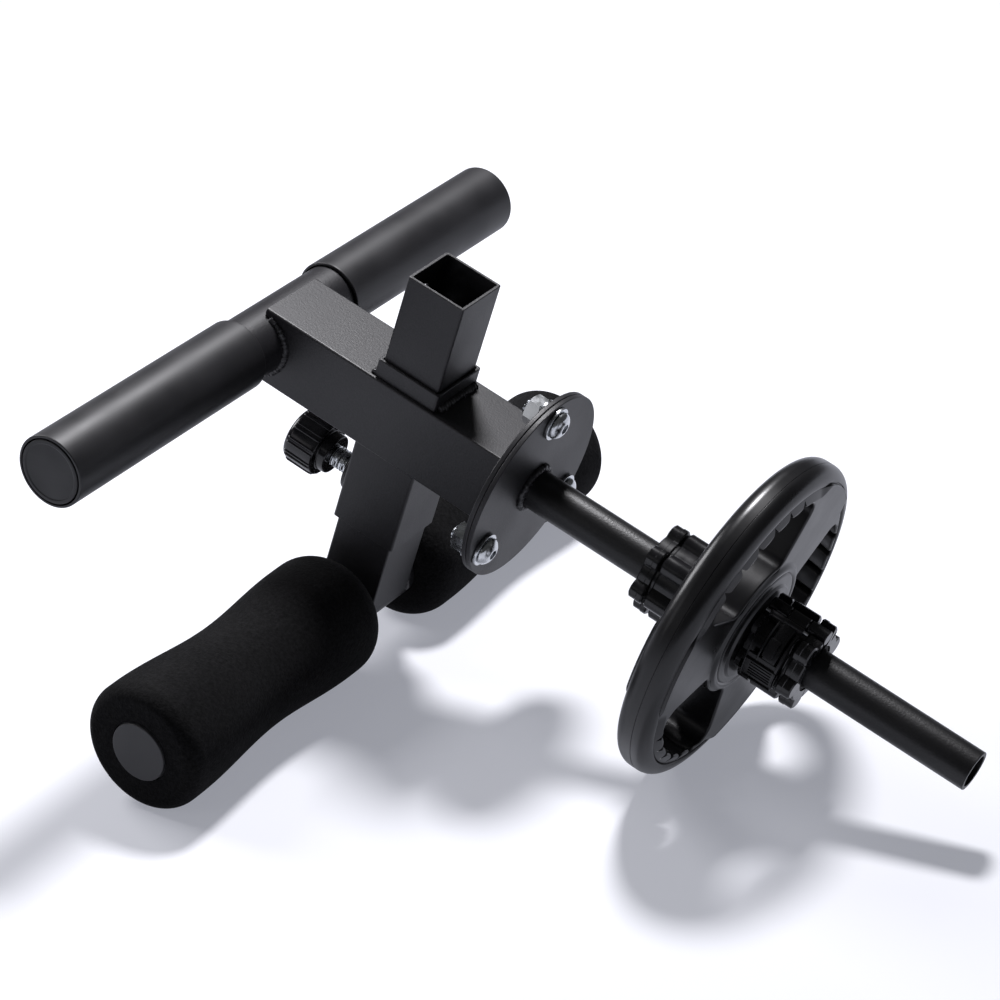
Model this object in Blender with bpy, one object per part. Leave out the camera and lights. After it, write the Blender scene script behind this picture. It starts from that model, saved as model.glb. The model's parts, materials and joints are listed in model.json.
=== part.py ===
# Tibialis raise machine: a foot-held exercise frame with two foam rollers on a height-adjustable post,
# a heel bar, and a weight post with one grip plate held between two clamping collars.
# Metres, +Z up. Everything is modelled in the machine's own frame, whose X runs along the beam and the
# weight post, and is then pitched so that the foam rollers and the plate's rim stand on the floor.

import math

import bpy
import bmesh
from mathutils import Matrix, Vector

# Gaps
clearance = 0.0003
running_gap = 0.0005

# Height-adjustable post in its guide sleeve
post_offset = 0.0875
roller_post_side = 0.040
roller_post_wall = 0.002
roller_post_corner = 0.0015
roller_post_top = 0.0987
guide_wall = 0.002
guide_side = roller_post_side + 2 * (guide_wall + running_gap)
guide_top = 0.037
guide_bottom = -0.086
hole_pitch = 0.024
holes_above_lock = 6
holes_below_lock = 1

# Beam, heel bar and its loose sleeves
beam_margin = 0.0025
beam_side = guide_side + 2 * beam_margin
beam_wall = 0.002
beam_corner = 0.0015
heel_bar_reach = 0.1896
heel_bar_radius = 0.020
heel_bar_wall = 0.0025
heel_bar_half_length = 0.217
bar_cap_thickness = 0.002
bar_cap_edge = 0.0005
cap_stem_length = 0.012
cap_stem_taper = 0.001
heel_sleeve_gap = 0.0008
heel_sleeve_wall = 0.0017
heel_sleeve_lip = 0.0006
heel_sleeve_bore = heel_bar_radius + heel_sleeve_gap
heel_sleeve_radius = heel_sleeve_bore + heel_sleeve_wall
heel_sleeve_inner_end = beam_side / 2 + 0.022
heel_sleeve_outer_end = heel_bar_half_length + bar_cap_thickness

# Foam rollers on the roller bar
roller_bar_drop = 0.142
roller_bar_radius = 0.019
roller_bar_wall = 0.0025
roller_bar_half_length = 0.2215
foam_gap = 0.0004
foam_side_gap = 0.006
foam_overhang = 0.001
foam_bore = roller_bar_radius + foam_gap
roller_cap_radius = roller_bar_radius - foam_gap
foam_bulge = 0.041
foam_inner_bulge = foam_bulge - 0.001
foam_waist = foam_bulge - 0.0052
foam_inner_end = guide_side / 2 + foam_side_gap
foam_outer_end = roller_bar_half_length + foam_overhang
foam_inner_crest = foam_inner_end + 0.0265
foam_outer_crest = foam_outer_end - 0.0155
foam_waist_share = 0.47
foam_inner_round = 0.018
foam_outer_round = 0.010
foam_round_depth = 0.8

# Spring pin that locks the height
lock_height = -0.064
boss_radius = 0.015
boss_length = 0.006
barrel_radius = 0.007
barrel_length = 0.0255
barrel_edge = 0.0008
barrel_nose = 0.003
barrel_wall = 0.0012
barrel_chamber = barrel_radius - barrel_wall
barrel_rear_wall = 0.003
lock_pin_radius = 0.004
lock_pin_point = 0.0008
lock_hole_radius = lock_pin_radius + 0.001
lock_pin_travel = 0.008
lock_pull_spare = 0.002
lock_pin_standoff = 0.0005
lock_shoulder_radius = barrel_chamber - 0.0004
lock_shoulder_length = 0.0025
lock_rod_radius = 0.0025
lock_rod_grip = 0.006
spring_wire = 0.00045
spring_turns = 3.5
spring_rod_gap = 0.0006
knob_overlap = 0.0035
knob_radius = 0.019
knob_length = 0.0225
knob_hub_radius = 0.013
knob_hub_length = 0.0065
knob_hub_edge = 0.0008
knob_shoulder = 0.0015
knob_flutes = 12
knob_flute_depth = 0.0011

# Bolted flange joint and the weight post
flange_thickness = 0.003
flange_edge = 0.0004
bolt_circle = 0.0493
bolt_count = 3
bolt_radius = 0.005
bolt_point = 0.001
bolt_hole_radius = bolt_radius + 0.0006
bolt_head_radius = bolt_radius + 0.00375
bolt_head_height = 0.0052
bolt_socket_flats = 0.006
bolt_socket_depth = 0.0032
bolt_overhang = 0.003
washer_radius = bolt_head_radius + 0.00185
washer_thickness = 0.002
nut_flats = 2 * bolt_radius + 0.007
nut_thickness = 0.0084
flange_radius = bolt_circle + washer_radius + 0.0016
weight_post_radius = 0.0125
weight_post_wall = 0.0025
weight_post_bore = weight_post_radius - weight_post_wall
weight_post_length = 0.310

# Weight plate on its steel bushing
plate_radius = 0.1045
plate_rim_half = 0.0115
plate_rim_round = 0.009
plate_rim_step = 0.0004
plate_lip_radius = plate_radius - 0.012
plate_lip_slope = 0.0025
plate_web_half = plate_rim_half - 0.001
plate_hub_half = 0.017
plate_hub_edge = 0.003
plate_centre = 0.145
bushing_wall = 0.004
bushing_radius = weight_post_radius + running_gap + bushing_wall
plate_hub_radius = bushing_radius + 0.0225
plate_hub_slope = 0.004
grip_inner = plate_hub_radius + 0.0065
grip_outer = plate_lip_radius - 0.0095
grip_spoke_half = 0.0165
grip_corner = 0.25 * (grip_outer - grip_inner)
grip_angles = (110.0, 230.0, 350.0)

# Clamping collars
collar_length = 0.039
collar_gap = 0.0006
collar_pad_gap = 0.0004
collar_pad_thickness = 0.0021
collar_pad_margin = 5.0
collar_pad_bore = weight_post_radius + collar_pad_gap
collar_bore = collar_pad_bore + collar_pad_thickness + clearance
collar_radius = collar_bore + 0.011
collar_lobe = 0.0027
collar_lobes = 6
collar_split_gap = 1.5
collar_hinge_radius = collar_bore + 0.0069
collar_hinge_pin = 0.002
collar_eye_radius = collar_hinge_pin + 0.0027
collar_bridge_half = 0.0025
collar_bridge_overlap = 6.0
collar_hinge_clear = 14.0
collar_pin_inset = 0.0005
lever_floor = collar_bore + 0.0094
lever_radius = lever_floor + 0.0045
lever_start = 0.0045
lever_length = 0.0225
lever_pin = 0.0009
lever_pin_overhang = 0.003
lever_eye = lever_pin + 0.0009
lever_eye_gap = 0.0006
lever_pivot_radius = lever_floor + 0.0019
lever_turn = 24.0
lever_sweep = 92.0
lever_heel = 6.8
lever_tip = 3.0
outer_collar_hinge = 85.0
inner_collar_hinge = 35.0

# How finely round pieces are drawn
fine_steps = 48
round_steps = 32
small_steps = 24


def clear_scene():
    for obj in list(bpy.data.objects):
        bpy.data.objects.remove(obj, do_unlink=True)


def make_material(name, colour, roughness, metallic=0.0):
    material = bpy.data.materials.new(name)
    material.use_nodes = True
    shader = material.node_tree.nodes["Principled BSDF"]
    shader.inputs["Base Color"].default_value = (*colour, 1.0)
    shader.inputs["Roughness"].default_value = roughness
    shader.inputs["Metallic"].default_value = metallic
    return material


def make_empty(name, parent=None, location=(0, 0, 0)):
    empty = bpy.data.objects.new(name, None)
    bpy.context.scene.collection.objects.link(empty)
    empty.parent = parent
    empty.location = location
    return empty


def resting_pitch():
    """The nose-down angle at which the foam rollers and the plate's rim touch one floor."""
    along = plate_centre + plate_rim_half - plate_rim_round + post_offset
    down = plate_radius - plate_rim_round - roller_bar_drop
    depth = foam_bulge - plate_rim_round
    return math.asin(depth / math.hypot(along, down)) - math.atan2(down, along)


def resting_place(pitch):
    """Where the machine's origin stands, so that the whole object is centred over the floor's origin."""
    front = weight_post_length * math.cos(pitch) + weight_post_radius * math.sin(pitch)
    back = -heel_bar_reach * math.cos(pitch) - heel_sleeve_radius
    lowest = post_offset * math.sin(pitch) - roller_bar_drop * math.cos(pitch) - foam_bulge
    return (-(front + back) / 2, 0.0, -lowest)


# Meshes

def circle(radius, steps, turn=0.0):
    angles = (turn + math.tau * i / steps for i in range(steps))
    return [(radius * math.cos(a), radius * math.sin(a)) for a in angles]


def hexagon(flats, steps):
    """A hexagon as steps points, evenly spread over its sides, one at each corner."""
    corner = flats / math.sqrt(3)
    per_side = steps // 6
    corners = [Vector((corner * math.cos(k * math.pi / 3), corner * math.sin(k * math.pi / 3)))
               for k in range(7)]
    return [tuple(corners[k].lerp(corners[k + 1], j / per_side))
            for k in range(6) for j in range(per_side)]


def rounded_square(side, corner, steps=3):
    points = []
    inset = side / 2 - corner
    for k, (sx, sy) in enumerate(((1, 1), (-1, 1), (-1, -1), (1, -1))):
        for j in range(steps + 1):
            a = math.pi / 2 * (k + j / steps)
            points.append((sx * inset + corner * math.cos(a), sy * inset + corner * math.sin(a)))
    return points


def ring_along_x(outline, x):
    return [Vector((x, u, v)) for u, v in outline]


def ring_along_z(outline, z):
    return [Vector((u, v, z)) for u, v in outline]


def skin(name, rings, material, parent, loop, location=(0, 0, 0), turn=None):
    """One closed body through rings of equal count. loop joins the last ring to the first, as round a
    bore; otherwise both end rings are capped."""
    bm = bmesh.new()
    rows = [[bm.verts.new(point) for point in ring] for ring in rings]
    pairs = list(zip(rows, rows[1:]))
    if loop:
        pairs.append((rows[-1], rows[0]))
    count = len(rows[0])
    for low, high in pairs:
        for i in range(count):
            j = (i + 1) % count
            bm.faces.new((low[i], low[j], high[j], high[i]))
    if not loop:
        bm.faces.new(rows[0])
        bm.faces.new(rows[-1])
    bmesh.ops.recalc_face_normals(bm, faces=bm.faces)
    mesh = bpy.data.meshes.new(name)
    bm.to_mesh(mesh)
    bm.free()
    mesh.shade_smooth()
    mesh.set_sharp_from_angle(angle=math.radians(35))
    obj = bpy.data.objects.new(name, mesh)
    bpy.context.scene.collection.objects.link(obj)
    obj.parent = parent
    obj.location = location
    if turn:
        obj.rotation_euler = turn
    if material:
        mesh.materials.append(material)
    return obj


def turned(name, profile, steps, material, parent, loop=True, location=(0, 0, 0), turn=None):
    """A turned piece about its own X axis, from (along, radius) points."""
    rings = [ring_along_x(circle(radius, steps), along) for along, radius in profile]
    return skin(name, rings, material, parent, loop, location, turn)


def as_cutter(obj):
    obj.hide_render = True
    obj.display_type = "WIRE"
    return obj


def combine(obj, others, operation):
    for other in others:
        modifier = obj.modifiers.new(f"{operation.lower()}_{other.name}", "BOOLEAN")
        modifier.operation = operation
        modifier.solver = "EXACT"
        modifier.object = as_cutter(other)


def round_cutter(name, radius, start, end, location, parent, steps=small_steps, turn=None):
    return turned(name, [(start, radius), (end, radius)], steps, None, parent, False, location, turn)


def box_cutter(name, low, high, parent):
    outline = [(low[1], low[2]), (high[1], low[2]), (high[1], high[2]), (low[1], high[2])]
    return skin(name, [ring_along_x(outline, low[0]), ring_along_x(outline, high[0])], None, parent, False)


across = (0, 0, math.pi / 2)


# Welded frame

def build_frame(machine, paint):
    beam_end = 2 * flange_thickness + 2 * clearance
    outer = rounded_square(beam_side, beam_corner)
    inner = rounded_square(beam_side - 2 * beam_wall, beam_corner / 3)
    beam = skin("main_beam", [ring_along_x(outer, -heel_bar_reach), ring_along_x(outer, -beam_end),
                              ring_along_x(inner, -beam_end), ring_along_x(inner, -heel_bar_reach)],
                paint, machine, True)
    cope = round_cutter("cope_for_heel_bar", heel_bar_radius + clearance, -beam_side, beam_side,
                        (-heel_bar_reach, 0, 0), machine, round_steps, across)
    half = guide_side / 2 + clearance
    window = box_cutter("window_for_guide", (-post_offset - half, -half, -beam_side),
                        (-post_offset + half, half, beam_side), machine)
    combine(beam, [cope, window], "DIFFERENCE")

    turned("heel_bar", [(-heel_bar_half_length, heel_bar_radius), (heel_bar_half_length, heel_bar_radius),
                        (heel_bar_half_length, heel_bar_radius - heel_bar_wall),
                        (-heel_bar_half_length, heel_bar_radius - heel_bar_wall)],
           round_steps, paint, machine, True, (-heel_bar_reach, 0, 0), across)

    outer = rounded_square(guide_side, beam_corner)
    inner = rounded_square(guide_side - 2 * guide_wall, beam_corner / 3)
    guide = skin("guide_sleeve", [ring_along_z(outer, guide_bottom), ring_along_z(outer, guide_top),
                                  ring_along_z(inner, guide_top), ring_along_z(inner, guide_bottom)],
                 paint, machine, True, (-post_offset, 0, 0))
    bore = round_cutter("guide_lock_bore", barrel_radius + clearance, -guide_side / 2 - guide_wall,
                        -guide_side / 2 + 2 * guide_wall, (-post_offset, 0, lock_height), machine)
    combine(guide, [bore], "DIFFERENCE")

    wall = guide_wall_face()
    turned("lock_boss", [(wall - clearance, boss_radius), (wall - clearance - boss_length, boss_radius),
                         (wall - clearance - boss_length, barrel_radius + clearance),
                         (wall - clearance, barrel_radius + clearance)],
           small_steps, paint, machine, True, (0, 0, lock_height))


def guide_wall_face():
    """X of the guide sleeve's outer face on the heel bar's side."""
    return -post_offset - guide_side / 2


def build_caps(machine, carriage, bar_cap, roller_cap):
    bars = (("heel_bar_cap", machine, (-heel_bar_reach, 0, 0), heel_bar_half_length,
             heel_bar_radius, heel_bar_radius - heel_bar_wall, bar_cap),
            ("roller_bar_cap", carriage, (0, 0, 0), roller_bar_half_length,
             roller_cap_radius, roller_bar_radius - roller_bar_wall, roller_cap))
    for name, parent, place, half_length, face_radius, bore, material in bars:
        stem = bore - clearance
        face = half_length + clearance
        for side, sign in (("left", -1), ("right", 1)):
            back = face - cap_stem_length
            front = face + bar_cap_thickness
            profile = [(sign * back, stem - cap_stem_taper), (sign * (back + cap_stem_taper), stem),
                       (sign * face, stem),
                       (sign * face, face_radius), (sign * (front - bar_cap_edge), face_radius),
                       (sign * front, face_radius - bar_cap_edge)]
            turned(f"{name}_{side}", profile, round_steps, material, parent, False, place, across)


def build_heel_sleeves(machine, material):
    lip = heel_sleeve_lip
    for side, sign in (("left", -1), ("right", 1)):
        start, end = sign * heel_sleeve_inner_end, sign * heel_sleeve_outer_end
        turned(f"heel_sleeve_{side}",
               [(start, heel_sleeve_radius - lip), (start + sign * lip, heel_sleeve_radius),
                (end - sign * lip, heel_sleeve_radius), (end, heel_sleeve_radius - lip),
                (end, heel_sleeve_bore), (start, heel_sleeve_bore)],
               round_steps, material, machine, True, (-heel_bar_reach, 0, 0), across)


# Height-adjustable roller carriage, whose frame has its origin on the roller bar's axis

def build_carriage(carriage, paint):
    outer = rounded_square(roller_post_side, roller_post_corner)
    inner = rounded_square(roller_post_side - 2 * roller_post_wall, roller_post_corner / 3)
    top = roller_post_top + roller_bar_drop
    post = skin("roller_post", [ring_along_z(outer, 0), ring_along_z(outer, top),
                                ring_along_z(inner, top), ring_along_z(inner, 0)], paint, carriage, True)
    saddle = round_cutter("saddle_for_roller_bar", roller_bar_radius + clearance, -roller_post_side,
                          roller_post_side, (0, 0, 0), carriage, round_steps, across)
    holes = []
    for k in range(-holes_below_lock, holes_above_lock + 1):
        height = roller_bar_drop + lock_height + k * hole_pitch
        holes.append(round_cutter(f"lock_hole_{k + holes_below_lock}", lock_hole_radius,
                                  -roller_post_side / 2 - roller_post_wall,
                                  -roller_post_side / 2 + 2 * roller_post_wall, (0, 0, height), carriage,
                                  16))
    combine(post, [saddle] + holes, "DIFFERENCE")
    half, bore = roller_bar_half_length, roller_bar_radius - roller_bar_wall
    turned("roller_bar", [(-half, roller_bar_radius), (half, roller_bar_radius), (half, bore), (-half, bore)],
           round_steps, paint, carriage, True, (0, 0, 0), across)


def foam_radius(along):
    """Dog-bone outline of a foam roller at a distance along the roller bar."""
    waist = foam_inner_crest + foam_waist_share * (foam_outer_crest - foam_inner_crest)
    crest, bulge = (foam_outer_crest, foam_bulge) if along > waist else (foam_inner_crest, foam_inner_bulge)
    swing = min(1.0, (along - waist) / (crest - waist))
    radius = foam_waist + (bulge - foam_waist) * math.sin(math.pi / 2 * swing) ** 2
    for end, rounding in ((foam_inner_end, foam_inner_round), (foam_outer_end, foam_outer_round)):
        inside = abs(along - end)
        if inside < rounding:
            radius -= foam_round_depth * rounding * (1 - math.sqrt(1 - (1 - inside / rounding) ** 2))
    return radius


def foam_stations():
    """Distances along the bar at which the foam's outline is drawn: closer together round each end."""
    ends = [0.0, 0.04, 0.15, 0.32, 0.6, 1.0]
    first = [foam_inner_end + foam_inner_round * t for t in ends]
    last = [foam_outer_end - foam_outer_round * t for t in reversed(ends)]
    between = 9
    step = (last[0] - first[-1]) / (between + 1)
    return first + [first[-1] + step * (i + 1) for i in range(between)] + last


def build_foam(carriage, foam):
    for side, sign in (("left", -1), ("right", 1)):
        profile = [(sign * y, foam_radius(y)) for y in foam_stations()]
        profile += [(sign * foam_outer_end, foam_bore), (sign * foam_inner_end, foam_bore)]
        turned(f"foam_roller_{side}", profile, round_steps, foam, carriage, True, (0, 0, 0), across)


# Spring pin: barrel in the welded boss, pin, spring and pull knob. Its frame's X points to the weights.

def build_lock(machine, zinc, steel, plastic):
    place = (0, 0, lock_height)
    nose = guide_wall_face() + guide_wall - 2 * clearance
    rear = nose - barrel_length
    turned("lock_barrel", [(nose, barrel_radius), (rear + barrel_edge, barrel_radius),
                           (rear, barrel_radius - barrel_edge),
                           (rear, lock_rod_radius + clearance),
                           (rear + barrel_rear_wall, lock_rod_radius + clearance),
                           (rear + barrel_rear_wall, barrel_chamber), (nose - barrel_nose, barrel_chamber),
                           (nose - barrel_nose, lock_pin_radius + clearance),
                           (nose, lock_pin_radius + clearance)],
           small_steps, zinc, machine, True, place)

    tip = -post_offset - roller_post_side / 2 - lock_pin_standoff
    shoulder = nose - barrel_nose - clearance - lock_pin_travel
    knob_face = rear + knob_overlap
    knob_back = knob_face - knob_hub_length - knob_length
    rod_end = knob_back + lock_rod_grip
    turned("lock_pin", [(tip, lock_pin_radius - lock_pin_point), (tip - lock_pin_point, lock_pin_radius),
                        (shoulder, lock_pin_radius), (shoulder, lock_shoulder_radius),
                        (shoulder - lock_shoulder_length, lock_shoulder_radius),
                        (shoulder - lock_shoulder_length, lock_rod_radius), (rod_end, lock_rod_radius)],
           small_steps, steel, machine, False, place)

    wire_start = shoulder - lock_shoulder_length - lock_pull_spare - clearance - spring_wire
    wire_end = rear + barrel_rear_wall + clearance + spring_wire
    coil = lock_rod_radius + 2 * spring_wire + spring_rod_gap
    build_spring("lock_spring", wire_start, wire_end, coil, machine, steel, place)

    bore = lock_rod_radius + clearance
    recess = barrel_radius + running_gap
    floor = rear - lock_pin_travel - running_gap
    body = knob_face - knob_hub_length
    rows = [(knob_face, knob_hub_radius - knob_hub_edge, 0), (knob_face - knob_hub_edge, knob_hub_radius, 0),
            (body, knob_hub_radius, 0), (body, knob_radius - knob_shoulder, 1),
            (body - knob_shoulder, knob_radius, 1),
            (knob_back + 0.0025, knob_radius, 1), (knob_back + 0.0006, knob_radius - 0.0018, 0.6),
            (knob_back, knob_radius - 0.005, 0), (knob_back, 0.003, 0), (knob_back + 0.0015, 0.002, 0)]
    rings = [fluted_ring(x, radius, amount) for x, radius, amount in rows]
    deep = rod_end - clearance
    knob = skin("lock_knob", rings, plastic, machine, False, place)
    hollow = turned("lock_knob_bore", [(knob_face + 0.001, recess), (floor, recess), (floor, bore),
                                       (deep, bore)], small_steps, None, machine, False, place)
    combine(knob, [hollow], "DIFFERENCE")


def fluted_ring(x, radius, amount):
    """A ring with evenly spaced shallow grooves, four points to a flute."""
    points = []
    for k in range(knob_flutes * 4):
        dip = knob_flute_depth * amount if k % 4 in (2, 3) else 0.0
        angle = math.tau * k / (knob_flutes * 4)
        points.append(Vector((x, (radius - dip) * math.cos(angle), (radius - dip) * math.sin(angle))))
    return points


def build_spring(name, start, end, coil, parent, material, place):
    """A helix about the pin's rod as a curve with a round bevel and filled caps."""
    curve = bpy.data.curves.new(name, "CURVE")
    curve.dimensions = "3D"
    curve.bevel_depth = spring_wire
    curve.bevel_resolution = 1
    curve.use_fill_caps = True
    count = int(spring_turns * 10) + 1
    spline = curve.splines.new("POLY")
    spline.points.add(count - 1)
    for i in range(count):
        angle = math.tau * spring_turns * i / (count - 1)
        along = start + (end - start) * i / (count - 1)
        spline.points[i].co = (along, coil * math.cos(angle), coil * math.sin(angle), 1.0)
    curve.materials.append(material)
    spring = bpy.data.objects.new(name, curve)
    bpy.context.scene.collection.objects.link(spring)
    spring.parent = parent
    spring.location = place
    pitch = abs(end - start) / spring_turns
    print(f"{name}: least gap between turns {1000 * (pitch - 2 * spring_wire):.2f} mm")


# Bolted flange joint

def bolt_places():
    for k in range(bolt_count):
        angle = math.radians(90 + 360 * k / bolt_count)
        yield k + 1, bolt_circle * math.cos(angle), bolt_circle * math.sin(angle)


def build_flanges(machine, paint):
    back = -2 * flange_thickness - clearance
    for name, low in (("post_flange", -flange_thickness), ("beam_flange", back)):
        edge = flange_edge
        high = low + flange_thickness
        disc = turned(name, [(low, flange_radius - edge), (low + edge, flange_radius),
                             (high - edge, flange_radius), (high, flange_radius - edge)],
                      fine_steps, paint, machine, False)
        holes = [round_cutter(f"{name}_hole_{k}", bolt_hole_radius, low - 0.002, high + 0.002,
                              (0, y, z), machine, 16) for k, y, z in bolt_places()]
        combine(disc, holes, "DIFFERENCE")


def build_fasteners(machine, zinc):
    back = -2 * flange_thickness - clearance
    washer_hole = bolt_radius + clearance
    head = washer_thickness + 2 * clearance
    nut_face = back - washer_thickness - 2 * clearance
    shank_end = nut_face - nut_thickness - bolt_overhang
    for k, y, z in bolt_places():
        place = (0, y, z)
        washers = (f"head_washer_{k}", clearance), (f"nut_washer_{k}", back - clearance - washer_thickness)
        for name, low in washers:
            high = low + washer_thickness
            turned(name, [(low, washer_radius), (high, washer_radius), (high, washer_hole),
                          (low, washer_hole)], small_steps, zinc, machine, True, place)
        bore = ring_along_x(circle(washer_hole, small_steps), nut_face), \
            ring_along_x(circle(washer_hole, small_steps), nut_face - nut_thickness)
        body = ring_along_x(hexagon(nut_flats, small_steps), nut_face), \
            ring_along_x(hexagon(nut_flats, small_steps), nut_face - nut_thickness)
        skin(f"flange_nut_{k}", [body[0], body[1], bore[1], bore[0]], zinc, machine, True, place)
        rings = [ring_along_x(circle(radius, small_steps), x) for x, radius in (
            (shank_end, bolt_radius - bolt_point), (shank_end + bolt_point, bolt_radius), (head, bolt_radius),
            (head, bolt_head_radius), (head + 0.3 * bolt_head_height, 0.99 * bolt_head_radius),
            (head + 0.7 * bolt_head_height, 0.84 * bolt_head_radius),
            (head + bolt_head_height, 0.55 * bolt_head_radius))]
        for x in (head + bolt_head_height, head + bolt_head_height - bolt_socket_depth):
            rings.append(ring_along_x(hexagon(bolt_socket_flats, small_steps), x))
        skin(f"flange_bolt_{k}", rings, zinc, machine, False, place)


def build_weight_post(machine, paint):
    lip = flange_edge
    turned("weight_post", [(clearance, weight_post_radius), (weight_post_length - lip, weight_post_radius),
                           (weight_post_length, weight_post_radius - lip),
                           (weight_post_length, weight_post_bore), (clearance, weight_post_bore)],
           fine_steps, paint, machine)


# Weight plate

def build_plate(machine, rubber, steel):
    hub_half = plate_hub_half
    bore = weight_post_radius + running_gap
    turned("plate_bushing", [(-hub_half, bore), (-hub_half, bushing_radius), (hub_half, bushing_radius),
                             (hub_half, bore)], fine_steps, steel, machine, True, (plate_centre, 0, 0))

    hub_bore = bushing_radius + clearance
    arcs = 4
    rim = []
    for k in range(arcs + 1):
        angle = math.pi / 2 * k / arcs
        rim.append((plate_rim_half - plate_rim_round * (1 - math.cos(angle)),
                    plate_radius - plate_rim_round * (1 - math.sin(angle))))
    half = [(hub_half, hub_bore), (hub_half, plate_hub_radius - plate_hub_edge),
            (hub_half - plate_hub_edge, plate_hub_radius),
            (plate_web_half, plate_hub_radius + plate_hub_slope),
            (plate_web_half, plate_lip_radius - plate_lip_slope),
            (plate_rim_half - plate_rim_step, plate_lip_radius)] + rim
    profile = half + [(-x, radius) for x, radius in reversed(half)]
    plate = turned("weight_plate", profile, fine_steps, rubber, machine, True, (plate_centre, 0, 0))
    cutters = []
    for k, centre in enumerate(grip_angles):
        rings = [ring_along_x(grip_outline(centre), x) for x in (-plate_hub_half, plate_hub_half)]
        cutters.append(skin(f"grip_cutter_{k + 1}", rings, None, machine, False, (plate_centre, 0, 0)))
    combine(plate, cutters, "DIFFERENCE")


def grip_outline(centre):
    """A grip slot at an angle in degrees: arcs inside and outside, straight sides along the two spokes
    beside it, and rounded corners."""
    spoke = math.pi / len(grip_angles)
    side = Vector((math.cos(spoke), math.sin(spoke)))
    half = []
    for radius, steps, inward in ((grip_inner, 3, 1), (grip_outer, 6, -1)):
        end = spoke - math.asin(grip_spoke_half / radius)
        stop = end - grip_corner / radius
        arc = [Vector((math.cos(stop * i / steps), math.sin(stop * i / steps))) * radius
               for i in range(steps + 1)]
        corner = Vector((math.cos(end), math.sin(end))) * radius
        finish = corner + side * inward * grip_corner
        rounding = [arc[-1].lerp(corner, t).lerp(corner.lerp(finish, t), t) for t in (0.33, 0.67)]
        points = arc + rounding + [finish]
        half += points if inward == 1 else reversed(points)
    mirrored = [Vector((p.x, -p.y)) for p in reversed(half[1:-1])]
    turn = Matrix.Rotation(math.radians(centre), 2)
    return [tuple(turn @ p) for p in half + mirrored]


def sector_block(name, inner, outer, low, high, start, end, steps, material, parent, location=(0, 0, 0)):
    """Part of a ring about X between two angles in degrees. outer gives the outer radius at an angle."""
    rings = []
    for i in range(steps + 1):
        degrees = start + (end - start) * i / steps
        angle = math.radians(degrees)
        far = outer(degrees)
        rings.append([Vector((x, radius * math.cos(angle), radius * math.sin(angle)))
                      for x, radius in ((low, inner), (high, inner), (high, far), (low, far))])
    return skin(name, rings, material, parent, False, location)


# Clamping collars. Angles run from +Y towards +Z, in degrees.

def build_collar(name, start, end, hinge, parent, shell, pad, steel):
    """A collar of two halves on one hinge pin, with a lever and its pin on the jaw half. start is the end
    that meets the plate, and hinge the angle of the hinge pin. Seen from its start, every collar is alike."""
    handed = 1 if end > start else -1

    def at(offset):
        return hinge + handed * offset

    def along(distance):
        return start + handed * distance

    def lobed(degrees):
        return collar_radius + collar_lobe * math.cos(math.radians(collar_lobes * (degrees - hinge)))

    def place(radius, offset):
        angle = math.radians(at(offset))
        return (0, radius * math.cos(angle), radius * math.sin(angle))

    third = collar_length / 3
    half_gap = clearance / 2
    outer_spans = ((0, third - half_gap), (2 * third + half_gap, collar_length))
    middle_span = ((third + half_gap, 2 * third - half_gap),)
    eye_centre = place(collar_hinge_radius, 0)
    for half, side, spans in (("body", -1, outer_spans), ("jaw", 1, middle_span)):
        first, last = side * collar_hinge_clear, side * (180 - collar_split_gap)
        block = sector_block(f"{name}_{half}", collar_bore, lobed, start, end, at(first), at(last), 30,
                             shell, parent)
        joined = []
        for k, (low, high) in enumerate(spans):
            joined.append(round_cutter(f"{name}_{half}_eye_{k}", collar_eye_radius, along(low), along(high),
                                       eye_centre, parent))
            joined.append(sector_block(f"{name}_{half}_bridge_{k}", collar_hinge_radius - collar_bridge_half,
                                       lambda a: collar_hinge_radius + collar_bridge_half,
                                       along(low), along(high), at(side * 0.5),
                                       at(first + side * collar_bridge_overlap), 4, None, parent))
        combine(block, joined, "UNION")
        holes = [round_cutter(f"{name}_{half}_pin_hole", collar_hinge_pin + clearance, along(-0.002),
                              along(collar_length + 0.002), eye_centre, parent, 16)]
        if half == "jaw":
            holes += lever_recess(name, parent, at, along, place)
        combine(block, holes, "DIFFERENCE")
        margin = collar_pad_margin * side
        sector_block(f"{name}_{half}_pad", collar_pad_bore, lambda a: collar_bore - clearance, along(0.001),
                     along(collar_length - 0.001), at(first + margin), at(last - margin), 18, pad, parent)
    turned(f"{name}_hinge_pin", [(along(collar_pin_inset), collar_hinge_pin),
                                   (along(collar_length - collar_pin_inset), collar_hinge_pin)],
           16, steel, parent, False, eye_centre)
    build_lever(name, parent, shell, steel, at, along, place)


def lever_recess(name, parent, at, along, place):
    low, high = lever_start, lever_start + lever_length
    pivot = place(lever_pivot_radius, lever_turn)
    beyond = lever_radius + collar_lobe
    recess = sector_block(f"{name}_lever_recess", lever_floor, lambda a: beyond, along(low - clearance),
                          along(high + clearance), at(lever_turn - lever_heel),
                          at(lever_turn + lever_sweep + lever_tip), 24, None, parent)
    well = round_cutter(f"{name}_lever_well", lever_eye + lever_eye_gap, along(low - clearance),
                        along(high + clearance), pivot, parent)
    overhang = lever_pin_overhang + running_gap
    hole = round_cutter(f"{name}_lever_hole", lever_pin + clearance, along(low - overhang),
                        along(high + overhang), pivot, parent, 12)
    return [recess, well, hole]


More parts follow.
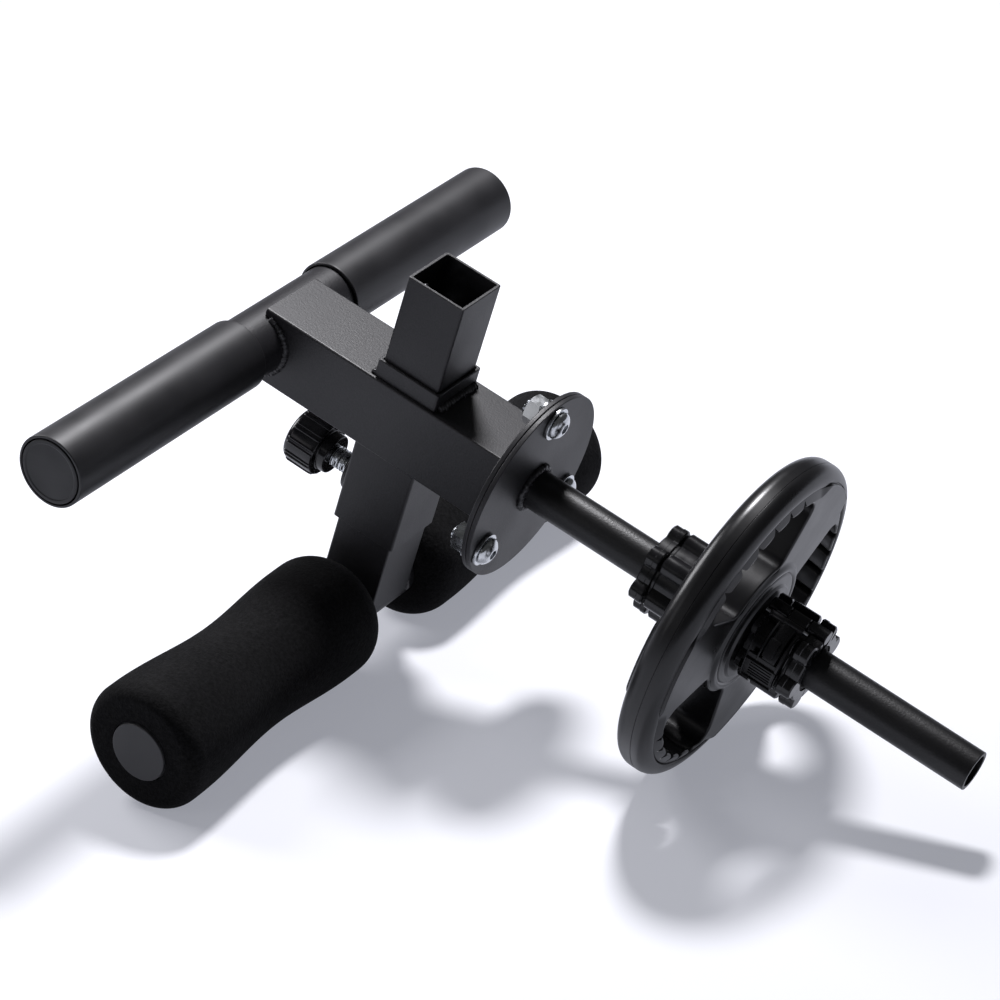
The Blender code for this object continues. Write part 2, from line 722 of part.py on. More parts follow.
def build_lever(name, parent, shell, steel, at, along, place):
    low, high = lever_start, lever_start + lever_length
    pivot = place(lever_pivot_radius, lever_turn)
    lever = sector_block(f"{name}_lever", lever_floor + clearance, lambda a: lever_radius, along(low),
                         along(high), at(lever_turn + 0.5), at(lever_turn + lever_sweep), 20, shell, parent)
    eye = round_cutter(f"{name}_lever_eye", lever_eye, along(low), along(high), pivot, parent)
    combine(lever, [eye], "UNION")
    hole = round_cutter(f"{name}_lever_bore", lever_pin + clearance, along(low - 0.002), along(high + 0.002),
                        pivot, parent, 12)
    combine(lever, [hole], "DIFFERENCE")
    turned(f"{name}_lever_pin", [(along(low - lever_pin_overhang), lever_pin),
                                   (along(high + lever_pin_overhang), lever_pin)],
           12, steel, parent, False, pivot)


def build():
    clear_scene()
    paint = make_material("powder_coat", (0.035, 0.035, 0.038), 0.5)
    sleeve = make_material("heel_sleeve", (0.02, 0.02, 0.022), 0.35)
    cap = make_material("bar_cap", (0.03, 0.03, 0.032), 0.5)
    grey_cap = make_material("roller_cap", (0.06, 0.06, 0.065), 0.6)
    foam = make_material("foam", (0.012, 0.012, 0.013), 0.9)
    zinc = make_material("zinc", (0.75, 0.76, 0.78), 0.25, 1.0)
    steel = make_material("steel", (0.6, 0.6, 0.62), 0.35, 1.0)
    rubber = make_material("plate_rubber", (0.018, 0.018, 0.02), 0.4)
    plastic = make_material("gloss_plastic", (0.01, 0.01, 0.011), 0.25)
    pad = make_material("collar_pad", (0.03, 0.03, 0.03), 0.8)

    pitch = resting_pitch()
    machine = make_empty("machine", None, resting_place(pitch))
    machine.rotation_euler = (0, pitch, 0)
    carriage = make_empty("roller_carriage", machine, (-post_offset, 0, -roller_bar_drop))

    build_frame(machine, paint)
    build_caps(machine, carriage, cap, grey_cap)
    build_heel_sleeves(machine, sleeve)
    build_carriage(carriage, paint)
    build_foam(carriage, foam)
    build_lock(machine, zinc, steel, plastic)
    build_flanges(machine, paint)
    build_fasteners(machine, zinc)
    build_weight_post(machine, paint)
    build_plate(machine, rubber, steel)
    near = plate_hub_half + collar_gap
    far = near + collar_length
    build_collar("outer_collar", plate_centre + near, plate_centre + far, outer_collar_hinge, machine,
                 plastic, pad, steel)
    build_collar("inner_collar", plate_centre - near, plate_centre - far, inner_collar_hinge, machine,
                 plastic, pad, steel)
    print(f"resting pitch {math.degrees(pitch):.2f} degrees")


build()
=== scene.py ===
# The looks of a tibialis raise machine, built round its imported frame. Metres, +Z up.

import json
import math

import bpy
import bmesh
from mathutils import Matrix, Vector


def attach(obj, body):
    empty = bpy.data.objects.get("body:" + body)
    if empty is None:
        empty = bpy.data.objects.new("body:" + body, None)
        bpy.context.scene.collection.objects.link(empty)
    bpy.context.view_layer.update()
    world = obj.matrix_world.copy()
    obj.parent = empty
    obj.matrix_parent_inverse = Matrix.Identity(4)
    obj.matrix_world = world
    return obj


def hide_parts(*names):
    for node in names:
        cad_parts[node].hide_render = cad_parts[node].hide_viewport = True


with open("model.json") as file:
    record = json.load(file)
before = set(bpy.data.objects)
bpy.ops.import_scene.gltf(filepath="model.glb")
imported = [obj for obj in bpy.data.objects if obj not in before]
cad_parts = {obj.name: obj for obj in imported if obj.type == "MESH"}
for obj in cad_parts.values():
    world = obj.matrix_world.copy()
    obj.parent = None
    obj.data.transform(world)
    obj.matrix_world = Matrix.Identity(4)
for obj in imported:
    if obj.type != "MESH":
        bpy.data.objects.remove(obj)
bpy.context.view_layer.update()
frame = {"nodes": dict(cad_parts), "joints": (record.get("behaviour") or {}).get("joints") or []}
print("frame loaded")

# The machine's own space: X along the weight post from the flange, Z square to the beam
layout = {
    "plateCentre": 0.145,  # from the flange to the middle of the plate
    "rollerPost": -0.0875,
    "rollerBarDrop": -0.142,
    "heelBar": -0.1896,
    "lockHeight": -0.064,
}
gap = 0.0003  # between pieces that touch on the real machine
sides = (("left", -1), ("right", 1))
jointNamed = {joint["name"]: joint for joint in frame["joints"]}
alongPost = Vector(jointNamed["plate_spin"]["axis"]).normalized()
upPost = Vector(jointNamed["roller_height"]["axis"]).normalized()
flangeCentre = Vector(jointNamed["plate_spin"]["pos_m"]) - layout["plateCentre"] * alongPost
machine = Matrix.Translation(flangeCentre) @ Matrix((alongPost, (0, 1, 0), upPost)).transposed().to_4x4()
acrossTurn = Matrix.Rotation(math.pi / 2, 4, "Z")  # a piece's own X to the machine's +Y
atFlange = Matrix.Identity(4)
heelBarPlace = Matrix.Translation((layout["heelBar"], 0, 0)) @ acrossTurn
postPlace = Matrix.Translation((layout["rollerPost"], 0, 0))
rollerBarPlace = Matrix.Translation((layout["rollerPost"], 0, layout["rollerBarDrop"])) @ acrossTurn
lockPlace = Matrix.Translation((0, 0, layout["lockHeight"]))
platePlace = Matrix.Translation((layout["plateCentre"], 0, 0))


# Making meshes

def newObject(name, mesh):
    thing = bpy.data.objects.new(name, mesh)
    bpy.context.scene.collection.objects.link(thing)
    return thing


def bake(thing):
    depsgraph = bpy.context.evaluated_depsgraph_get()
    mesh = bpy.data.meshes.new_from_object(thing.evaluated_get(depsgraph), depsgraph=depsgraph)
    thing.modifiers.clear()
    old = thing.data
    thing.data = mesh
    bpy.data.meshes.remove(old)
    return thing


def lofted(name, rings, loop=False):
    # One closed body through rings of equal count; loop joins the last ring to the first, as round a bore
    bm = bmesh.new()
    rows = [[bm.verts.new(point) for point in ring] for ring in rings]
    pairs = list(zip(rows, rows[1:]))
    if loop:
        pairs.append((rows[-1], rows[0]))
    count = len(rows[0])
    for low, high in pairs:
        for i in range(count):
            j = (i + 1) % count
            bm.faces.new((low[i], low[j], high[j], high[i]))
    if not loop:
        bm.faces.new(rows[0])
        bm.faces.new(rows[-1])
    bmesh.ops.recalc_face_normals(bm, faces=bm.faces)
    mesh = bpy.data.meshes.new(name)
    bm.to_mesh(mesh)
    bm.free()
    return newObject(name, mesh)


def softened(points, sizes, steps=4, closed=True):
    # A polyline with its corners rounded, by one size or by one for each corner
    out = []
    count = len(points)
    for i, point in enumerate(points):
        size = sizes[i] if isinstance(sizes, (list, tuple)) else sizes
        here = Vector(point)
        if size <= 0 or (not closed and i in (0, count - 1)):
            out.append(here)
            continue
        back = Vector(points[i - 1]) - here
        on = Vector(points[(i + 1) % count]) - here
        start = here + back.normalized() * min(size, 0.48 * back.length)
        end = here + on.normalized() * min(size, 0.48 * on.length)
        for k in range(steps + 1):
            t = k / steps
            out.append(start.lerp(here, t).lerp(here.lerp(end, t), t))
    return out


def around(along, radius, turn):
    return Vector((along, radius * math.cos(turn), radius * math.sin(turn)))


def ringAt(along, radius, steps):
    return [around(along, radius, math.tau * i / steps) for i in range(steps)]


def turned(name, profile, steps=96, loop=True):
    # Turned about its own X from (along, radius) points
    return lofted(name, [ringAt(along, radius, steps) for along, radius in profile], loop)


def tube(name, start, end, radius, bore, soft, softSteps=4, steps=96):
    rims = [(start, radius), (end, radius), (end, bore), (start, bore)]
    return turned(name, softened(rims, soft, softSteps), steps)


def squareTube(name, spec, low, high, axis):
    # With softened rims, along the machine's X or Z
    outer, rim, corner = spec["side"], spec["rim"], spec["corner"]
    inner = outer - 2 * spec["wall"]
    tight = corner / 3
    rings = []
    for at, side, bend in ((low, outer - 2 * rim, corner), (low + rim, outer, corner), (high - rim, outer, corner),
                           (high, outer - 2 * rim, corner), (high, inner + rim, tight),
                           (high - rim / 2, inner, tight), (low + rim / 2, inner, tight),
                           (low, inner + rim, tight)):
        half = side / 2
        outline = softened([(half, half), (-half, half), (-half, -half), (half, -half)], bend, 6)
        rings.append([Vector((at, u, v)) if axis == "X" else Vector((u, v, at)) for u, v in outline])
    return lofted(name, rings, True)


def rod(radius, start, end, spot, steps=64):
    # A plain round cutter about its own X
    cutter = turned("cutter", [(start, radius), (end, radius)], steps, False)
    cutter.data.transform(spot)
    return cutter


def block(low, high):
    # A plain straight cutter
    outline = ((low[1], low[2]), (high[1], low[2]), (high[1], high[2]), (low[1], high[2]))
    return lofted("cutter", [[Vector((x, y, z)) for y, z in outline] for x in (low[0], high[0])])


def carve(thing, others, operation="DIFFERENCE"):
    for other in others:
        modifier = thing.modifiers.new("carve", "BOOLEAN")
        modifier.operation = operation
        modifier.solver = "EXACT"
        modifier.object = other
    bake(thing)
    for other in others:
        bpy.data.objects.remove(other, do_unlink=True)
    return thing


def joinInto(thing, others):
    if not others:
        return thing
    bm = bmesh.new()
    bm.from_mesh(thing.data)
    for other in others:
        bm.from_mesh(other.data)
    bm.to_mesh(thing.data)
    bm.free()
    for other in others:
        bpy.data.objects.remove(other, do_unlink=True)
    return thing


# Node trees

class Field:
    # A number or vector in a node tree, so that a rule can be written as a formula
    def __init__(self, tree, socket):
        self.tree = tree
        self.socket = socket

    def through(self, operation, *others):
        node = self.tree.nodes.new("ShaderNodeMath")
        node.operation = operation
        for i, other in enumerate((self,) + others):
            if isinstance(other, Field):
                self.tree.links.new(other.socket, node.inputs[i])
            else:
                node.inputs[i].default_value = other
        return Field(self.tree, node.outputs[0])

    def __add__(self, other):
        return self.through("ADD", other)

    def __sub__(self, other):
        return self.through("SUBTRACT", other)

    def __mul__(self, other):
        return self.through("MULTIPLY", other)

    def __truediv__(self, other):
        return self.through("DIVIDE", other)


def addNode(tree, kind, sockets=None, **settings):
    node = tree.nodes.new(kind)
    for key, value in settings.items():
        setattr(node, key, value)
    for key, value in (sockets or {}).items():
        value = value.socket if isinstance(value, Field) else value
        if isinstance(value, bpy.types.NodeSocket):
            tree.links.new(value, node.inputs[key])
        else:
            node.inputs[key].default_value = value
    return node


def made(tree, kind, sockets=None, **settings):
    return Field(tree, addNode(tree, kind, sockets, **settings).outputs[0])


def startTree(name, sizes, others=(), takesGeometry=False):
    # sizes are its number inputs, others are (name, kind)
    tree = bpy.data.node_groups.new(name, "GeometryNodeTree")
    tree.interface.new_socket("Geometry", in_out="OUTPUT", socket_type="NodeSocketGeometry")
    if takesGeometry:
        tree.interface.new_socket("Geometry", in_out="INPUT", socket_type="NodeSocketGeometry")
    for label, kind in [*others, *[(size, "Float") for size in sizes], ("Material", "Material")]:
        tree.interface.new_socket(label, in_out="INPUT", socket_type=f"NodeSocket{kind}")
    start = tree.nodes.new("NodeGroupInput")
    return tree, {socket.name: Field(tree, socket) for socket in start.outputs if socket.name}


def endTree(tree, geometry, material):
    whole = made(tree, "GeometryNodeRealizeInstances", {0: geometry})
    coated = made(tree, "GeometryNodeSetMaterial", {"Geometry": whole, "Material": material})
    addNode(tree, "NodeGroupOutput", {0: coated})
    return tree


def grow(name, tree, values, base=None):
    thing = newObject(name, base or bpy.data.meshes.new(name))
    modifier = thing.modifiers.new(tree.name, "NODES")
    modifier.node_group = tree
    for item in tree.interface.items_tree:
        if item.item_type == "SOCKET" and item.in_out == "INPUT" and item.name in values:
            modifier[item.identifier] = values[item.name]
    return bake(thing)


def makeCopiesRound():
    # Copies of one piece round the X axis, each turned with its place or kept level
    tree, given = startTree("copiesRound", ("Radius", "First Angle", "Angle Step", "Turn", "Tilt Step"),
                            (("Piece", "Object"), ("Count", "Int")))
    points = made(tree, "GeometryNodePoints", {"Count": given["Count"]})
    index = made(tree, "GeometryNodeInputIndex")
    angle = index * given["Angle Step"] + given["First Angle"]
    place = made(tree, "ShaderNodeCombineXYZ", {"Y": angle.through("COSINE") * given["Radius"],
                                                "Z": angle.through("SINE") * given["Radius"]})
    placed = made(tree, "GeometryNodeSetPosition", {"Geometry": points, "Position": place})
    piece = addNode(tree, "GeometryNodeObjectInfo", {"Object": given["Piece"]}).outputs["Geometry"]
    tilt = made(tree, "ShaderNodeCombineXYZ", {"X": angle * given["Turn"] + index * given["Tilt Step"]})
    rotation = made(tree, "FunctionNodeEulerToRotation", {0: tilt})
    copies = made(tree, "GeometryNodeInstanceOnPoints", {"Points": placed, "Instance": piece, "Rotation": rotation})
    return endTree(tree, copies, given["Material"])


def makeThread():
    # A screw thread: a ridge wound about Z, from 0 up to Length
    tree, given = startTree("thread", ("Radius", "Length", "Pitch", "Ridge"))
    turns = given["Length"] / given["Pitch"]
    helix = made(tree, "GeometryNodeCurveSpiral", {"Resolution": 28, "Rotations": turns, "Height": given["Length"],
                                                   "Start Radius": given["Radius"], "End Radius": given["Radius"]})
    ridge = made(tree, "GeometryNodeCurvePrimitiveCircle", {"Resolution": 6, "Radius": given["Ridge"]})
    swept = made(tree, "GeometryNodeCurveToMesh", {"Curve": helix, "Profile Curve": ridge, "Fill Caps": True})
    return endTree(tree, swept, given["Material"])


weldBead = {
    "spacing": 0.0007, "wander": 190.0, "pits": 420.0, "push": 0.0024, "rippleStep": 0.9,
    # width and ripple of each seam
    "cope": (0.0019, 0.0007), "heelTop": (0.0013, 0.0004), "flange": (0.0014, 0.0004), "post": (0.0017, 0.0005),
    "guideFront": (0.0022, 0.0009), "guideBack": (0.0017, 0.0006), "guideFar": (0.0016, 0.0006),
    "saddle": (0.0016, 0.0006), "boss": (0.0012, 0.0004),
}


def makeWeldTree():
    # A weld bead along a path of edges: a rope whose width ripples and wanders
    tree, given = startTree("weldBead", ("Width", "Ripple", "Spacing", "Roughness", "Seed"), takesGeometry=True)
    path = made(tree, "GeometryNodeMeshToCurve", {"Mesh": given["Geometry"]})
    even = made(tree, "GeometryNodeResampleCurve", {"Curve": path, "Length": given["Spacing"]}, mode="LENGTH")
    place = made(tree, "GeometryNodeInputPosition")
    wander, pits = [addNode(tree, "ShaderNodeTexNoise", {"Vector": place, "W": given["Seed"], "Scale": scale,
                                                         "Detail": detail}, noise_dimensions="4D")
                    for scale, detail in ((weldBead["wander"], 2.0), (weldBead["pits"], 1.0))]
    index = made(tree, "GeometryNodeInputIndex")
    ripple = (index * weldBead["rippleStep"]).through("SINE").through("ABSOLUTE") * given["Ripple"]
    width = given["Width"] * (Field(tree, wander.outputs[0]) * given["Roughness"] + 1.0 - given["Roughness"] * 0.5)
    ring = made(tree, "GeometryNodeCurvePrimitiveCircle", {"Resolution": 12, "Radius": 1.0})
    swept = made(tree, "GeometryNodeCurveToMesh", {"Curve": even, "Profile Curve": ring, "Scale": width + ripple,
                                                   "Fill Caps": True})
    centred = made(tree, "ShaderNodeVectorMath", {0: pits.outputs["Color"], 1: (0.5, 0.5, 0.5)},
                   operation="SUBTRACT")
    pushed = made(tree, "ShaderNodeVectorMath", {0: centred, 1: (weldBead["push"],) * 3}, operation="MULTIPLY")
    rough = made(tree, "GeometryNodeSetPosition", {"Geometry": swept, "Offset": pushed})
    return endTree(tree, made(tree, "GeometryNodeSetShadeSmooth", {"Geometry": rough}), given["Material"])


def makeFoamTree():
    # The foam roller's dog-bone outline as a rule of the distance along its bar, turned about X
    tree, given = startTree("foamRoller", ("Inner End", "Outer End", "Waist", "Waist Share", "Inner Bulge",
                                           "Outer Bulge", "Inner Crest", "Outer Crest", "Inner Round",
                                           "Outer Round", "Rim Draw"),
                            (("Steps Along", "Int"), ("Steps Round", "Int")))
    grid = made(tree, "GeometryNodeMeshGrid", {"Size X": 1.0, "Size Y": 1.0, "Vertices X": given["Steps Along"],
                                               "Vertices Y": given["Steps Round"]})
    parts = addNode(tree, "ShaderNodeSeparateXYZ", {0: made(tree, "GeometryNodeInputPosition")})
    share = Field(tree, parts.outputs["X"]) + 0.5
    turn = (Field(tree, parts.outputs["Y"]) + 0.5) * math.tau
    length = given["Outer End"] - given["Inner End"]
    inset = (share * math.pi).through("COSINE") * -0.5 + 0.5  # closer together towards the ends
    along = given["Inner End"] + length * inset
    waistAt = given["Inner Crest"] + (given["Outer Crest"] - given["Inner Crest"]) * given["Waist Share"]
    outward = (along - waistAt) / (given["Outer Crest"] - waistAt)
    inward = (waistAt - along) / (waistAt - given["Inner Crest"])
    radius = given["Waist"]
    for swing, bulge in ((outward, given["Outer Bulge"]), (inward, given["Inner Bulge"])):
        held = swing.through("MAXIMUM", 0.0).through("MINIMUM", 1.0)
        radius = radius + (bulge - given["Waist"]) * (held * (math.pi / 2)).through("SINE").through("POWER", 2.0)
    for end, rounding in ((given["Inner End"], given["Inner Round"]), (given["Outer End"], given["Outer Round"])):
        left = ((along - end).through("ABSOLUTE") / rounding).through("MINIMUM", 1.0)
        drop = ((left - 1.0).through("POWER", 2.0) * -1.0 + 1.0).through("MAXIMUM", 0.0).through("SQRT")
        radius = radius - (drop * -1.0 + 1.0) * rounding * given["Rim Draw"]
    place = made(tree, "ShaderNodeCombineXYZ", {"X": along, "Y": turn.through("COSINE") * radius,
                                                "Z": turn.through("SINE") * radius})
    bent = made(tree, "GeometryNodeSetPosition", {"Geometry": grid, "Position": place})
    closed = made(tree, "GeometryNodeMergeByDistance", {"Geometry": bent, "Distance": 0.00001})
    return endTree(tree, made(tree, "GeometryNodeSetShadeSmooth", {"Geometry": closed}), given["Material"])


copiesRound = makeCopiesRound()
threadTree = makeThread()
weldTree = makeWeldTree()
foamTree = makeFoamTree()
print("node trees built")


# Materials. A finish has the record's slot that it belongs to and its noise patterns as (scale, detail,
# roughness, stretch). One pattern mixes its dark and its light tone between a low and a high value, another
# moves its roughness from least to most, and its bumps are (pattern, depth in metres, strength)

finishes = {
    "powderCoat": {
        "slot": "powder_coat", "dark": (0.0110, 0.0106, 0.0128), "light": (0.0190, 0.0184, 0.0215),
        "noise": {"grain": (850, 3.0, 0.6), "orange": (420, 2.0), "cloud": (22, 3.0)},
        "speckle": 0.35,  # how much of the speckle is cloud, the rest being grain
        "tones": ("speckle", 0.36, 0.66), "rough": ("cloud", 0.42, 0.50),
        "bumps": (("orange", 0.00006, 0.5), ("grain", 0.00012, 1.0)),
    },
    "paintedWeld": {
        "slot": "powder_coat", "light": (0.027, 0.0265, 0.0295), "noise": {"grain": (900, 3.0, 0.6)},
        "rough": ("grain", 0.28, 0.5), "bumps": (("grain", 0.00012, 0.7),),
    },
    "sleevePlastic": {
        "slot": "heel_sleeve", "dark": (0.0165, 0.0163, 0.0185), "light": (0.0215, 0.0212, 0.0240),
        "noise": {"drawn": (260, 3.0, 0.6, (1.0, 0.04, 1.0)), "cloud": (35, 2.0)},
        "tones": ("cloud", 0.3, 0.7), "rough": ("cloud", 0.42, 0.50), "bumps": (("drawn", 0.00004, 0.5),),
    },
    "heelCapPlastic": {
        "slot": "bar_cap", "dark": (0.0102, 0.0102, 0.011475), "light": (0.01344, 0.01344, 0.01512),
        "noise": {"grain": (1300, 3.0, 0.6), "cloud": (60, 3.0)},
        "tones": ("cloud", 0.3, 0.7), "rough": ("cloud", 0.45, 0.58), "bumps": (("grain", 0.00004, 0.6),),
    },
    "foamSkin": {
        "slot": "foam", "dark": (0.0010, 0.0010, 0.0011), "light": (0.0082, 0.0080, 0.0086),
        "noise": {"coarse": (460, 3.0, 0.7), "cloud": (26, 3.0)}, "cells": 900,
        "tones": ("coarse", 0.36, 0.66), "rough": ("cloud", 0.88, 1.0),
        "bumps": (("cloud", 0.0006, 0.25), ("coarse", 0.0004, 0.8), ("cells", 0.0003, 0.7)),
        "sockets": {"Specular IOR Level": 0.12, "Sheen Weight": 0.03, "Sheen Roughness": 0.6,
                    "Sheen Tint": (0.7, 0.7, 0.75, 1.0)},
    },
    "zincPlate": {
        "slot": "zinc", "dark": (0.5904, 0.6068, 0.6232), "light": (0.72, 0.74, 0.76),
        "noise": {"grain": (700, 3.0, 0.6), "cloud": (150, 3.0)},
        "tones": ("cloud", 0.32, 0.65), "rough": ("cloud", 0.165, 0.308), "bumps": (("grain", 0.00003, 0.5),),
        "sockets": {"Metallic": 1.0},
    },
    "plateRubber": {
        "slot": "plate_rubber", "dark": (0.0068, 0.0067, 0.0076), "light": (0.0105, 0.0103, 0.0115),
        "noise": {"cloud": (24, 4.0, 0.6), "grain": (800, 2.0), "wave": (70, 2.0)},
        "tones": ("cloud", 0.3, 0.7), "rough": ("cloud", 0.27, 0.36),
        "bumps": (("wave", 0.0004, 0.12), ("grain", 0.00003, 0.5)),
    },
    "glossPlastic": {
        "slot": "gloss_plastic", "dark": (0.0090, 0.0088, 0.0100), "light": (0.0135, 0.0132, 0.0150),
        "noise": {"cloud": (90, 3.0)}, "tones": ("cloud", 0.3, 0.7), "rough": ("cloud", 0.15, 0.27),
        "bumps": (("cloud", 0.0001, 0.2),),
    },
    "padRubber": {
        "light": (0.03, 0.03, 0.03), "noise": {"grain": (900, 2.0)}, "rough": ("grain", 0.7, 0.9),
        "bumps": (("grain", 0.0001, 0.5),),
    },
}
finishes["postCoat"] = dict(finishes["powderCoat"], dark=(0.0044, 0.00424, 0.00512),
                            light=(0.0076, 0.00736, 0.0086), rough=("cloud", 0.36, 0.44))
finishes["rollerCapPlastic"] = dict(finishes["heelCapPlastic"], slot="roller_cap", dark=(0.034, 0.034, 0.03655),
                                    light=(0.0448, 0.0448, 0.04816))
finishes["turnedSteel"] = dict(finishes["zincPlate"], dark=(0.451, 0.451, 0.4592), light=(0.55, 0.55, 0.56),
                               rough=("cloud", 0.225, 0.42), bumps=(("grain", 0.00004, 0.5),))
finishes["satinPlastic"] = dict(finishes["glossPlastic"], rough=("cloud", 0.24, 0.36))


noiseSpan = (0.3, 0.7)  # where nearly all of a noise pattern's values lie


def noiseAt(tree, place, scale, detail, roughness=0.5, stretch=None):
    if stretch:
        place = made(tree, "ShaderNodeMapping", {"Vector": place, "Scale": stretch})
    return made(tree, "ShaderNodeTexNoise", {"Vector": place, "Scale": scale, "Detail": detail,
                                             "Roughness": roughness})


def ramp(tree, value, stops):
    node = addNode(tree, "ShaderNodeValToRGB", {0: value})
    for element, (at, colour) in zip(node.color_ramp.elements, stops):
        element.position = at
        element.color = (*colour, 1.0)
    return node.outputs["Color"]


def spread(tree, value, low, high, least, most):
    return made(tree, "ShaderNodeMapRange", {"Value": value, "From Min": low, "From Max": high,
                                             "To Min": least, "To Max": most})


def makeFinish(name, look):
    material = bpy.data.materials.new(name)
    material.use_nodes = True
    tree = material.node_tree
    shader = tree.nodes["Principled BSDF"]
    shader.inputs["Base Color"].default_value = (*look["light"], 1.0)
    for label, value in look.get("sockets", {}).items():
        shader.inputs[label].default_value = value
    place = tree.nodes.new("ShaderNodeTexCoord").outputs["Object"]
    pattern = {label: noiseAt(tree, place, *values) for label, values in look["noise"].items()}
    if "cells" in look:
        pattern["cells"] = made(tree, "ShaderNodeTexVoronoi", {"Vector": place, "Scale": look["cells"]})
    if "speckle" in look:
        pattern["speckle"] = pattern["cloud"] * look["speckle"] + pattern["grain"] * (1.0 - look["speckle"])
    if "tones" in look:
        by, low, high = look["tones"]
        tones = ramp(tree, pattern[by], [(low, look["dark"]), (high, look["light"])])
        tree.links.new(tones, shader.inputs["Base Color"])
    by, least, most = look["rough"]
    tree.links.new(spread(tree, pattern[by], *noiseSpan, least, most).socket, shader.inputs["Roughness"])
    layer = {}
    for by, depth, strength in look["bumps"]:
        layer = {"Normal": made(tree, "ShaderNodeBump", {"Height": pattern[by], "Distance": depth,
                                                         "Strength": strength, **layer})}
    tree.links.new(layer["Normal"].socket, shader.inputs["Normal"])
    return material


looks = {name: makeFinish(name, look) for name, look in finishes.items()}
print("materials made")


# Finishing a piece, and weld beads

def finish(thing, spot, look, body, nodes=(), angle=38):
    mesh = thing.data
    mesh.transform(machine @ spot)
    mesh.materials.clear()
    mesh.materials.append(looks[look])
    mesh.polygons.foreach_set("material_index", [0] * len(mesh.polygons))
    mesh.shade_smooth()
    mesh.set_sharp_from_angle(angle=math.radians(angle))
    modifier = thing.modifiers.new("normals", "WEIGHTED_NORMAL")
    modifier.keep_sharp = True
    bake(thing)
    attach(thing, body)
    if nodes:
        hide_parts(*nodes)
    return thing


def bead(seam, points, seed, roughness=0.7, closed=False):
    width, ripple = weldBead[seam]
    mesh = bpy.data.meshes.new("bead")
    edges = [(i, i + 1) for i in range(len(points) - 1)]
    if closed:
        edges.append((len(points) - 1, 0))
    mesh.from_pydata([tuple(point) for point in points], edges, [])
    return grow("bead", weldTree, {"Width": width, "Ripple": ripple, "Spacing": weldBead["spacing"],
                                   "Roughness": roughness, "Seed": seed, "Material": looks["paintedWeld"]}, mesh)


def finishWelds(name, beads, spot, body):
    welds = joinInto(beads[0], beads[1:])
    welds.name = name
    finish(welds, spot, "paintedWeld", body, angle=80)


# Frame

beam = {"side": 0.050, "wall": 0.002, "corner": 0.0015, "end": -0.0063, "rim": 0.0004}
guide = {"side": 0.045, "wall": 0.002, "top": 0.037, "bottom": -0.086, "corner": 0.002, "rim": 0.0005,
         "pinHole": 0.0073}
heelBar = {"radius": 0.020, "bore": 0.0175, "half": 0.217}
heelCap = {"radius": 0.0199, "stem": 0.0172, "tip": 0.0162, "depth": 0.012, "proud": 0.0023, "rim": 0.0022,
           "dish": 0.0004, "soft": 0.0006}
heelSleeve = {"radius": 0.0225, "bore": 0.0208, "start": 0.047, "end": 0.219, "lip": 0.0009}


def makeBeam():
    thing = squareTube("mainBeam", beam, layout["heelBar"], beam["end"], "X")
    half, post, reach = guide["side"] / 2 + gap, layout["rollerPost"], 0.05
    carve(thing, [rod(heelBar["radius"] + gap, -reach, reach, heelBarPlace, 96),
                  block((post - half, -half, -reach), (post + half, half, reach))])
    finish(thing, atFlange, "powderCoat", "frame", ["main_beam"])


def makeFrameWelds():
    side, radius, bar, post = beam["side"] / 2, heelBar["radius"], layout["heelBar"], layout["rollerPost"]
    cope = []
    for k in range(13):
        z = radius * math.cos(math.pi * k / 12) * 0.98
        cope.append((bar + math.sqrt(max(0.0, radius ** 2 - z * z)) + 0.0004, z))
    beads = [bead("cope", [(x, sign * (side + 0.0002), z) for x, z in cope], seed)
             for seed, sign in ((3.0, -1), (4.0, 1))]
    beads += [bead("heelTop", [(bar + 0.0012, y, sign * (radius + gap)) for y in (-side + 0.002, side - 0.002)], seed)
              for seed, sign in ((6.0, -1), (7.0, 1))]
    corners = [(beam["end"] - 0.0009, y, z) for y, z in ((-side, -side), (side, -side), (side, side), (-side, side))]
    beads += [bead("flange", [corners[k], corners[(k + 1) % 4]], 9.0 + k) for k in range(4)]
    wide = guide["side"] / 2 + 0.0004
    for k, level in enumerate((side + 0.0002, -side - 0.0002)):
        for seam, x, start, end, seed in (("guideFront", post + wide, -wide + 0.004, wide - 0.004, 14.0),
                                          ("guideBack", post - wide, -wide + 0.001, -wide + 0.012, 17.0),
                                          ("guideFar", post - wide, wide - 0.015, wide - 0.002, 19.0)):
            beads.append(bead(seam, [(x, start, level), (x, end, level)], seed + k, 0.9))
    finishWelds("frameWelds", beads, atFlange, "frame")


def makeGuide():
    thing = squareTube("guideSleeve", guide, guide["bottom"], guide["top"], "Z")
    thing.data.transform(postPlace)
    wall = layout["rollerPost"] - guide["side"] / 2
    carve(thing, [rod(guide["pinHole"], wall - 0.004, wall + 0.004, lockPlace)])
    finish(thing, atFlange, "powderCoat", "frame", ["guide_sleeve"])


